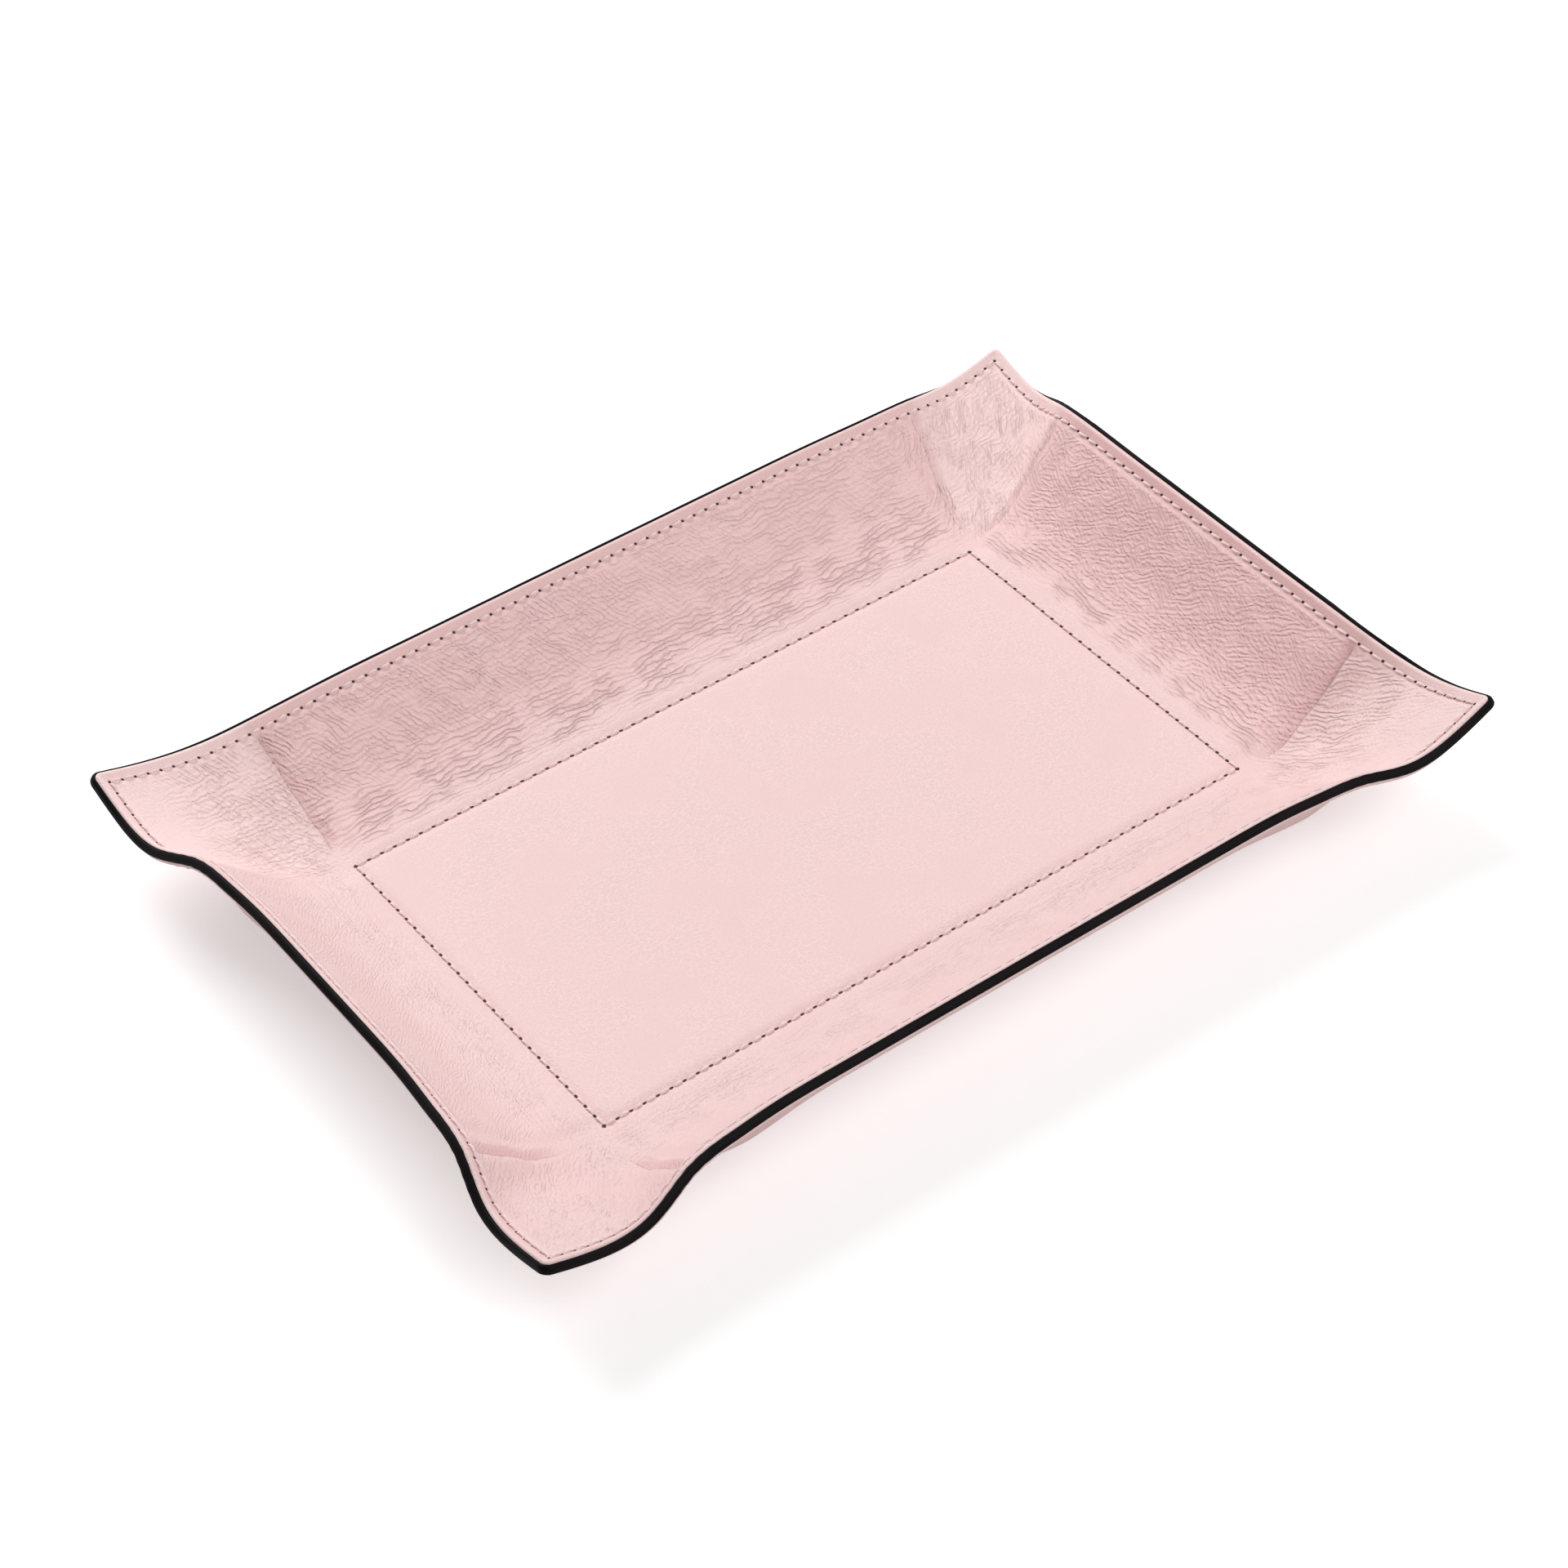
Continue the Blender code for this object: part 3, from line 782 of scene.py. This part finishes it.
# Needle holes along the four sides of a seam: 1 in a hole and 0 elsewhere
def makeNeedleHoles():
    tree, start, mask = makeGroup(
        "needleHoles",
        {
            "Place": None, "Half Length": 0.1, "Half Width": 0.1, "Long Pitch": 0.0035,
            "Short Pitch": 0.0035, "Hole Length": 0.0004, "Hole Width": 0.00034,
            "Slant": 0.20, "Past Corner": 0.0006,
        },
        "Mask",
    )
    parts = split(tree, start["Place"])
    masks = []
    for along, across, halfAlong, halfAcross, pitch in (
        ("X", "Y", "Half Length", "Half Width", "Long Pitch"),
        ("Y", "X", "Half Width", "Half Length", "Short Pitch"),
    ):
        shifted = calc(tree, "ADD", parts[along], start[halfAlong])
        steps = calc(tree, "ADD", calc(tree, "DIVIDE", shifted, start[pitch]), 0.5)
        offset = calc(tree, "SUBTRACT", calc(tree, "FRACT", steps), 0.5)
        offset = calc(tree, "MULTIPLY", offset, start[pitch])
        away = calc(tree, "ABSOLUTE", parts[across])
        away = calc(tree, "SUBTRACT", away, start[halfAcross])
        slant = calc(tree, "MULTIPLY_ADD", away, start["Slant"], offset)
        a = calc(tree, "DIVIDE", slant, start["Hole Length"])
        b = calc(tree, "DIVIDE", away, start["Hole Width"])
        squared = calc(tree, "MULTIPLY_ADD", a, a, calc(tree, "MULTIPLY", b, b))
        hole = fade(tree, calc(tree, "SQRT", squared), 0.70, 1.25, 1.0, 0.0)
        end = calc(tree, "ADD", start[halfAlong], start["Past Corner"])
        reach = calc(tree, "LESS_THAN", calc(tree, "ABSOLUTE", parts[along]), end)
        masks.append(calc(tree, "MULTIPLY", hole, reach))
    feed(tree, mask, combine(tree, "MAXIMUM", masks))
    return tree


# Crisp upper edge of the boards' padding: 1 on the padded wall and 0 in the rim's channel
def makePadEdge():
    tree, start, height = makeGroup(
        "padEdge",
        {
            "Place": None, "Half Length": 0.1, "Half Width": 0.1, "Row": 0.04,
            "Step Width": 0.00045, "End Start": -0.0055, "End Stop": -0.0005,
        },
        "Height",
    )
    parts = split(tree, start["Place"])
    past = []
    for axis, half in (("X", "Half Length"), ("Y", "Half Width")):
        past.append(calc(tree, "SUBTRACT", calc(tree, "ABSOLUTE", parts[axis]), start[half]))
    over = calc(tree, "SUBTRACT", calc(tree, "MAXIMUM", *past), start["Row"])
    step = fade(tree, calc(tree, "DIVIDE", over, start["Step Width"]), 0.0, 1.0, 1.0, 0.0)
    aside = calc(tree, "MINIMUM", *past)
    onWall = fade(tree, aside, start["End Start"], start["End Stop"], 1.0, 0.0)
    feed(tree, height, calc(tree, "MULTIPLY", step, onWall))
    return tree


leatherWrinkles = makeWrinkles()
padEdge = makePadEdge()
wanderingPlace = makeWander()
leatherGrain = makeGrain()
creaseLine = makeCreaseLine()
needleHoles = makeNeedleHoles()


def newMaterial(name):
    material = bpy.data.materials.new(name)
    material.use_nodes = True
    tree = material.node_tree
    return material, tree, tree.nodes["Principled BSDF"]


def flatPlaceNodes(tree):
    span = grid["uvSpan"]
    uvMap = addNode(tree, "UVMap", uv_map="flatSheet")
    values = {"Location": (-span / 2, -span / 2, 0), "Scale": (span, span, 1)}
    return addNode(tree, "Mapping", {"Vector": uvMap.outputs["UV"], **values}).outputs["Vector"]


def mixColors(tree, factor, first, second):
    node = addNode(tree, "Mix", {0: factor}, data_type="RGBA")
    for socket, color in ((node.inputs[6], first), (node.inputs[7], second)):
        feed(tree, socket, (*color, 1) if isinstance(color, tuple) else color)
    return node.outputs[2]


# How each kind of fold runs
folds = {
    "alongU": {"Turn": math.radians(0), "Length": 0.0052, "Width": 0.00150, "Seed": 0.0},
    "alongV": {"Turn": math.radians(-90), "Length": 0.0065, "Width": 0.00135, "Seed": 3.7},
    "rising": {"Turn": math.radians(-59), "Length": 0.0060, "Width": 0.00122, "Seed": 7.4},
    "falling": {"Turn": math.radians(58), "Length": 0.0055, "Width": 0.00132, "Seed": 11.1},
    "crossing": {"Turn": math.radians(-6), "Length": 0.0042, "Width": 0.00165, "Seed": 14.8},
    "fine": {"Turn": math.radians(-45), "Length": 0.0045, "Width": 0.00095, "Seed": 41.3},
}


def needleHoleMask(tree, place):
    masks = []
    for seam in seams.values():
        halfU, halfV = seamHalves(seam)
        pitchU, pitchV = seamPitches(seam)
        values = {
            "Place": place,
            "Half Length": halfU,
            "Half Width": halfV,
            "Hole Length": seam["holeLength"],
            "Long Pitch": pitchU,
            "Short Pitch": pitchV,
        }
        masks.append(useGroup(tree, needleHoles, values))
    return combine(tree, "MAXIMUM", masks)


def addBump(tree, height, distance, normal=None, invert=False):
    values = {"Height": height, "Distance": distance, "Strength": 1.0}
    if normal is not None:
        values["Normal"] = normal
    return addNode(tree, "Bump", values, invert=invert).outputs["Normal"]


def makeLeather(name, settings):
    material, tree, shader = newMaterial(name)
    place = flatPlaceNodes(tree)
    fields = {}
    for attribute, kinds in storedFields.items():
        stored = addNode(tree, "Attribute", attribute_name=attribute)
        fields.update(zip(kinds, split(tree, stored.outputs["Vector"])))

    bent = useGroup(tree, wanderingPlace, {"Place": place})
    heights = {}
    for kind, run in folds.items():
        values = {"Place": bent, "Strength": fields[kind], **run}
        heights[kind] = useGroup(tree, leatherWrinkles, values)
    fineLines = heights.pop("fine")
    wrinkles = combine(tree, "MULTIPLY", heights.values())
    grain = useGroup(tree, leatherGrain, {"Place": place, "Cell Size": settings["cellSize"]})
    crease = useGroup(tree, creaseLine, {"Side": fields["side"], "Reach": fields["reach"]})
    holes = needleHoleMask(tree, place)
    values = {"Half Length": halfLength, "Half Width": halfWidth, "Row": padEdgeRow}
    padding = useGroup(tree, padEdge, {"Place": place, **values})

    color = mixColors(tree, fade(tree, grain, 0.35, 1.15), settings["color"], settings["paleColor"])
    # Painted shade on the shaded walls, and painted light in the gutters and on the lit walls
    for share, label in (
        (settings["lightAndShadeShare"], "paintedShadeColor"),
        (-settings["lightAndShadeShare"], "paintedLightColor"),
    ):
        amount = calc(tree, "MAXIMUM", calc(tree, "MULTIPLY", fields["paintedShading"], share), 0.0)
        color = mixColors(tree, amount, color, settings[label])
    # Painted shade in the hollows of the wrinkles and along the crease lines
    hollowShade = calc(tree, "SUBTRACT", 1.0, wrinkles)
    hollowShade = calc(tree, "MULTIPLY", hollowShade, settings["wrinkleShadeShare"])
    lineShade = calc(tree, "MULTIPLY", crease, settings["creaseShadeShare"])
    color = mixColors(tree, calc(tree, "MAXIMUM", hollowShade, lineShade), color, settings["foldShadeColor"])
    # Painted shade in the needle holes
    color = mixColors(tree, holes, color, settings["holeShadeColor"])
    matte = settings["roughness"] + settings["roughnessSpread"]
    rough = fade(tree, grain, 0.2, 1.4, matte, settings["roughness"])

    normal = None
    for height, depth, sunk in (
        (grain, "grainDepth", False),
        (fineLines, "fineDepth", False),
        (wrinkles, "wrinkleDepth", False),
        (crease, "creaseDepth", True),
        (padding, "padEdgeDepth", False),
        (holes, "holeDepth", True),
    ):
        normal = addBump(tree, height, settings[depth], normal, invert=sunk)
    dress(tree, shader, color, rough, normal, settings["specular"])
    return material


# What both leathers share
leather = {
    "hiddenSpacing": 0.0030,
    "thickness": 0.0010,
    # Colour of the painted shade in wrinkle hollows and crease lines
    "foldShadeColor": (0.730, 0.420, 0.410),
    # Colour of the painted shade in the needle holes
    "holeShadeColor": (0.075, 0.030, 0.030),
    # Colours of the painted shade on the shaded walls and of the painted light in the gutters
    "paintedShadeColor": (0.975, 0.640, 0.628),
    "paintedLightColor": (0.995, 0.760, 0.744),
    "roughnessSpread": 0.08,
    "specular": 0.18,
    "cellSize": 0.0013,
    "holeDepth": 0.0003,
}
lining = {
    **leather,
    "faceSpacing": 0.00144,
    "facing": 1,
    "faceHeight": 0.0,
    "puffHeight": relief["puffHeight"],
    "puffEndStart": 0.0,
    "puffEndWidth": 0.0065,
    "puffEndShare": 0.0,
    "creaseShare": 1.0,
    "waveShare": 1.0,
    "color": (0.856, 0.620, 0.611),
    "paleColor": (0.898, 0.683, 0.673),
    "lightAndShadeShare": 0.85,
    # How strongly wrinkle hollows and crease lines get painted shade
    "wrinkleShadeShare": 0.30,
    "creaseShadeShare": 0.55,
    "roughness": 0.46,
    "grainDepth": 0.00010,
    "fineDepth": 0.00010,
    "wrinkleDepth": 0.00038,
    "creaseDepth": 0.00046,
    "padEdgeDepth": 0.00042,
}
liningMesh = leatherShell("liningLeather", lining)
liningFinish = makeLeather("blushLiningLeather", lining)
liningPiece = finishObject("liningLeather", liningMesh, liningFinish, "lining_leather", "lining")

outer = {
    **leather,
    "faceSpacing": 0.0020,
    "facing": -1,
    "faceHeight": -seamStack,
    "puffHeight": relief["puffBelow"],
    "puffEndStart": 0.005,
    "puffEndWidth": 0.018,
    "puffEndShare": 0.9,
    "creaseShare": 0.8,
    "waveShare": 0.5,
    "color": (0.830, 0.580, 0.570),
    "paleColor": (0.875, 0.640, 0.630),
    "lightAndShadeShare": 0.0,
    "wrinkleShadeShare": 0.06,
    "creaseShadeShare": 0.0,
    "roughness": 0.48,
    "grainDepth": 0.000055,
    "fineDepth": 0.00003,
    "wrinkleDepth": 0.00010,
    "creaseDepth": 0.00005,
    "padEdgeDepth": 0.00005,
}
outerMesh = leatherShell("outerLeather", outer)
outerFinish = makeLeather("blushOuterLeather", outer)
outerPiece = finishObject("outerLeather", outerMesh, outerFinish, "outer_leather", "outer")


# Painted edge: a domed black bead round the cut leathers

edgePaint = {
    "color": (0.0046, 0.0034, 0.0040),
    "dustyShare": 2.4,  # how much paler it is in smudges
    "roughness": 0.46,
    "roughnessSpread": 0.12,
    "specular": 0.07,
    "rippleDepth": 0.00003,
    "middle": 0.00026,  # bead's middle, past the cut
    "halfDepth": 0.00058,
    "halfHeight": 0.00110,
    "middleHeight": -0.00122,
    "roundness": 2.5,
    "stations": 1400,
    "around": 14,
    "unevenness": 0.00004,
    "unevenScale": 90,
    "tuck": 0.00062,  # how far it draws in under the far tip
    "tuckStart": 0.034,
    "tuckWidth": 0.020,
    "tuckThinning": 0.2,
}


# Place and outward direction round the cut edge, with its rounded tips
def cutOutline(count):
    radius = sheet["tipRadius"]
    endU, endV = cutLength / 2 - radius, cutWidth / 2 - radius
    quarter = math.pi / 2
    knots = np.cumsum([0, *[2 * endV, radius * quarter, 2 * endU, radius * quarter] * 2])
    along = knots[-1] * np.arange(count) / count
    turn = np.interp(along, knots, quarter * np.array([0, 0, 1, 1, 2, 2, 3, 3, 4]))
    centerU = np.interp(along, knots, endU * np.array([1, 1, 1, -1, -1, -1, -1, 1, 1]))
    centerV = np.interp(along, knots, endV * np.array([-1, 1, 1, 1, 1, -1, -1, -1, -1]))
    outward = np.stack([np.cos(turn), np.sin(turn)], axis=-1)
    return np.stack([centerU, centerV], axis=-1) + radius * outward, outward


def wrapBand(name, settings):
    count, around = settings["stations"], settings["around"]
    mesh = bmesh.new()
    bmesh.ops.create_grid(mesh, x_segments=count, y_segments=around, size=0.5)
    mesh.verts.ensure_lookup_table()
    station = np.array([round((vert.co.x + 0.5) * count) % count for vert in mesh.verts])
    turn = np.array([(vert.co.y + 0.5) * 2 * math.pi for vert in mesh.verts])
    places, outward = cutOutline(count)
    power = 2 / settings["roundness"]
    cosine = np.sign(np.cos(turn)) * np.abs(np.cos(turn)) ** power
    sine = np.sign(np.sin(turn)) * np.abs(np.sin(turn)) ** power
    spots = places * settings["unevenScale"]
    uneven = np.array([noise.noise(Vector((*spot, 5.0))) for spot in spots])
    toTip = np.linalg.norm(places - np.array([cutLength / 2, cutWidth / 2]), axis=1)
    tucked = smooth((settings["tuckStart"] - toTip) / settings["tuckWidth"])[station]
    depth = settings["halfDepth"] * (1 - settings["tuckThinning"] * tucked)
    depth += settings["unevenness"] * uneven[station]
    offset = settings["middle"] - settings["tuck"] * tucked + depth * cosine
    flat = places[station] + outward[station] * offset[:, None]
    height = settings["middleHeight"] + settings["halfHeight"] * sine
    shaped = placedOnSheet(flat[:, 0], flat[:, 1], height)
    for vert, place in zip(mesh.verts, shaped):
        vert.co = place
    bmesh.ops.remove_doubles(mesh, verts=mesh.verts, dist=0.000001)
    bmesh.ops.recalc_face_normals(mesh, faces=mesh.faces)
    return meshData(name, mesh)


def makeEdgePaint(name, settings):
    material, tree, shader = newMaterial(name)
    place = addNode(tree, "TexCoord").outputs["Object"]
    ripples = noiseOver(tree, place, 700.0, 3.0, 0.6)["Fac"]
    smudges = noiseOver(tree, place, 60.0, 2.0)["Fac"]
    dusty = tuple(part * settings["dustyShare"] for part in settings["color"])
    color = mixColors(tree, fade(tree, smudges, 0.4, 0.7), settings["color"], dusty)
    matte = settings["roughness"] + settings["roughnessSpread"]
    rough = fade(tree, smudges, 0.3, 0.7, settings["roughness"], matte)
    normal = addBump(tree, ripples, settings["rippleDepth"])
    dress(tree, shader, color, rough, normal, settings["specular"])
    return material


edgeMesh = wrapBand("edgePaint", edgePaint)
edgeFinish = makeEdgePaint("blackEdgePaint", edgePaint)
finishObject("edgePaint", edgeMesh, edgeFinish, "edge_paint", "edge_paint")


# Stitches: one short twisted thread between each two needle holes

stitch = {
    "color": (0.990, 0.825, 0.808),
    "shadeColor": (0.920, 0.690, 0.675),
    "roughness": 0.55,
    "radius": 0.00033,
    "endTaper": 0.35,
    "flatness": 0.85,
    "holeOverlap": 0.00008,
    "sink": 0.9,  # share of the seam's depth
    "arch": 0.00036,
    "dive": 0.00036,
    "slantDegrees": 6,
    "sides": 7,
    "rings": 7,
    "twists": 3.5,
    "plyDepth": 0.00008,
}


def seamStitches(seam, below, sink):
    halfU, halfV = seamHalves(seam)
    tips = [(-halfU, -halfV), (halfU, -halfV), (halfU, halfV), (-halfU, halfV)]
    holes = []
    for k, count in enumerate([seam["longStitches"], seam["shortStitches"]] * 2):
        first, last = Vector(tips[k]), Vector(tips[(k + 1) % 4])
        holes += [first.lerp(last, step / count) for step in range(count)]
    flat = np.array(holes)
    middle = (flat + np.roll(flat, -1, axis=0)) / 2
    level = -relief["seamDepth"] * sink
    if below:
        level = -seamStack - level
    start = placedOnSheet(flat[:, 0], flat[:, 1], np.full(len(flat), level))
    center, normal = surfaceFrame(middle[:, 0], middle[:, 1])
    center = center + normal * level
    return start, np.roll(start, -1, axis=0), center, normal * (-1 if below else 1)


def makeStitches(name, seam, below, settings):
    mesh = bmesh.new()
    uvLayer = mesh.loops.layers.uv.new("thread")
    slant = math.radians(settings["slantDegrees"])
    for start, end, center, up in zip(*seamStitches(seam, below, settings["sink"])):
        center, up = Vector(center), Vector(up)
        along = Vector(end - start)
        length = along.length - 2 * (seam["holeLength"] - settings["holeOverlap"])
        along = (Matrix.Rotation(slant, 3, up) @ along.normalized()).normalized()
        aside = up.cross(along)
        made = bmesh.ops.create_grid(
            mesh, x_segments=settings["rings"], y_segments=settings["sides"], size=0.5
        )
        verts = made["verts"]
        for face in {face for vert in verts for face in vert.link_faces}:
            for loop in face.loops:
                loop[uvLayer].uv = (loop.vert.co.x + 0.5, loop.vert.co.y + 0.5)
        for vert in verts:
            t = vert.co.x * 2
            turn = vert.co.y * 2 * math.pi
            radius = settings["radius"] * (1 - settings["endTaper"] * t * t)
            drop = (settings["arch"] + settings["dive"]) * abs(t) ** 3
            lift = settings["radius"] / 2 + settings["arch"] - drop
            lift += radius * math.sin(turn) * settings["flatness"]
            vert.co = center + along * (t * length / 2) + up * lift
            vert.co += aside * (radius * math.cos(turn))
    bmesh.ops.remove_doubles(mesh, verts=mesh.verts, dist=0.000001)
    openEdges = [edge for edge in mesh.edges if edge.is_boundary]
    bmesh.ops.holes_fill(mesh, edges=openEdges, sides=0)
    bmesh.ops.recalc_face_normals(mesh, faces=mesh.faces)
    return meshData(name, mesh)


def makeThread(name, settings):
    material, tree, shader = newMaterial(name)
    uvMap = addNode(tree, "UVMap", uv_map="thread")
    parts = split(tree, uvMap.outputs["UV"])
    turns = calc(tree, "MULTIPLY_ADD", parts["X"], settings["twists"], parts["Y"])
    ply = calc(tree, "ABSOLUTE", calc(tree, "SINE", calc(tree, "MULTIPLY", turns, 2 * math.pi)))
    color = mixColors(tree, fade(tree, ply, 0.0, 0.6), settings["shadeColor"], settings["color"])
    normal = addBump(tree, ply, settings["plyDepth"])
    dress(tree, shader, color, settings["roughness"], normal)
    return material


threadMaterial = makeThread("pinkThread", stitch)
for name, seam, below, node in (
    ("rimStitchesInside", seams["rim"], False, "rim_needle_thread"),
    ("rimStitchesOutside", seams["rim"], True, "rim_bobbin_thread"),
    ("baseStitchesInside", seams["base"], False, "base_needle_thread"),
    ("baseStitchesUnder", seams["base"], True, "base_bobbin_thread"),
):
    finishObject(name, makeStitches(name, seam, below, stitch), threadMaterial, "thread", node)


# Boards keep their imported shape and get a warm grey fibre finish

board = {
    "color": (0.40, 0.36, 0.32),
    "fibreColor": (0.52, 0.47, 0.41),
    "roughness": 0.9,
    "fibreDepth": 0.00005,
}


def makeBoard(name, settings):
    material, tree, shader = newMaterial(name)
    place = addNode(tree, "TexCoord").outputs["Object"]
    values = {"Vector": place, "Scale": 900.0, "Detail": 4.0, "Roughness": 0.7, "Distortion": 1.2}
    fibres = addNode(tree, "TexNoise", values).outputs["Fac"]
    shade = fade(tree, fibres, 0.35, 0.7)
    color = mixColors(tree, shade, settings["color"], settings["fibreColor"])
    normal = addBump(tree, fibres, settings["fibreDepth"])
    dress(tree, shader, color, settings["roughness"], normal)
    return material


boardMaterial = makeBoard("greyBoard", board)
for name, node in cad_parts.items():
    if name.endswith("_board"):
        node.data.materials.clear()
        node.data.materials.append(boardMaterial)
print("boards finished")


# Floor, lamps and camera

stage = {
    "floorSize": 6.0,
    "floorColor": (0.90, 0.90, 0.90),
    "cameraLift": 0.36,
    "whiteStart": 0.5,
    "whiteEnd": 1.4,
    "skyStrength": 0.31,
    "lamps": {
        "backLamp": {"turnDegrees": 90, "heightDegrees": 42, "size": 1.0, "power": 15.6},
        "sideLamp": {"turnDegrees": -62, "heightDegrees": 45, "size": 1.0, "power": 9.4},
    },
    "lampDistance": 1.45,
}


def makeFloor(settings):
    mesh = bmesh.new()
    bmesh.ops.create_grid(mesh, x_segments=1, y_segments=1, size=settings["floorSize"] / 2)
    floor = newObject("floor", meshData("floor", mesh))
    material, tree, shader = newMaterial("paleFloor")
    tree.nodes.remove(shader)
    diffuse = addNode(tree, "BsdfDiffuse", {"Color": (*settings["floorColor"], 1)})
    rays = addNode(tree, "LightPath")
    place = addNode(tree, "TexCoord").outputs["Object"]
    away = addNode(tree, "VectorMath", {0: place}, operation="LENGTH").outputs["Value"]
    start, end = settings["whiteStart"], settings["whiteEnd"]
    white = fade(tree, away, start, end, settings["cameraLift"], 1.0)
    lift = calc(tree, "MULTIPLY", rays.outputs["Is Camera Ray"], white)
    glow = addNode(tree, "Emission", {"Color": (1, 1, 1, 1), "Strength": lift})
    both = addNode(tree, "AddShader", {0: diffuse.outputs[0], 1: glow.outputs[0]})
    feed(tree, tree.nodes["Material Output"].inputs["Surface"], both.outputs[0])
    floor.data.materials.append(material)


def makeSky(settings):
    world = bpy.data.worlds.new("paleStudio")
    scene.world = world
    world.use_nodes = True
    tree = world.node_tree
    background = tree.nodes["Background"]
    rays = addNode(tree, "LightPath")
    shown = rays.outputs["Is Camera Ray"]
    strength = addNode(tree, "MapRange", {"Value": shown, "To Min": settings["skyStrength"]})
    background.inputs["Color"].default_value = (1, 1, 1, 1)
    feed(tree, background.inputs["Strength"], strength.outputs["Result"])


def makeLamp(name, settings, distance):
    data = bpy.data.lights.new(name, "AREA")
    data.shape = "SQUARE"
    data.size = settings["size"]
    data.energy = settings["power"]
    lamp = newObject(name, data)
    turn = math.radians(settings["turnDegrees"])
    height = math.radians(settings["heightDegrees"])
    flat = math.cos(height)
    place = Vector((math.cos(turn) * flat, math.sin(turn) * flat, math.sin(height))) * distance
    lamp.location = place
    lamp.rotation_euler = place.to_track_quat("Z", "Y").to_euler()


view = {
    "turnDegrees": -35.62,
    "heightDegrees": 44.05,
    "rollDegrees": -1.74,
    "distance": 0.87483,
    "lens": 86.787,
    "shift": (-0.01074, 0.02088),
}


def makeCamera(settings):
    turn = Matrix.Rotation(math.radians(settings["turnDegrees"]), 4, "Z")
    tilt = Matrix.Rotation(math.radians(90 - settings["heightDegrees"]), 4, "X")
    roll = Matrix.Rotation(math.radians(settings["rollDegrees"]), 4, "Z")
    data = bpy.data.cameras.new("camera")
    data.lens = settings["lens"]
    data.shift_x, data.shift_y = settings["shift"]
    data.clip_start = 0.05
    camera = newObject("camera", data)
    target = Matrix.Translation((0, 0, sheet["stand"]))
    away = Matrix.Translation((0, 0, settings["distance"]))
    camera.matrix_world = target @ turn @ tilt @ roll @ away
    scene.camera = camera


makeFloor(stage)
makeSky(stage)
for name, lampSettings in stage["lamps"].items():
    makeLamp(name, lampSettings, stage["lampDistance"])
makeCamera(view)
scene.view_settings.view_transform = "Standard"
print("stage, lamps and camera set")
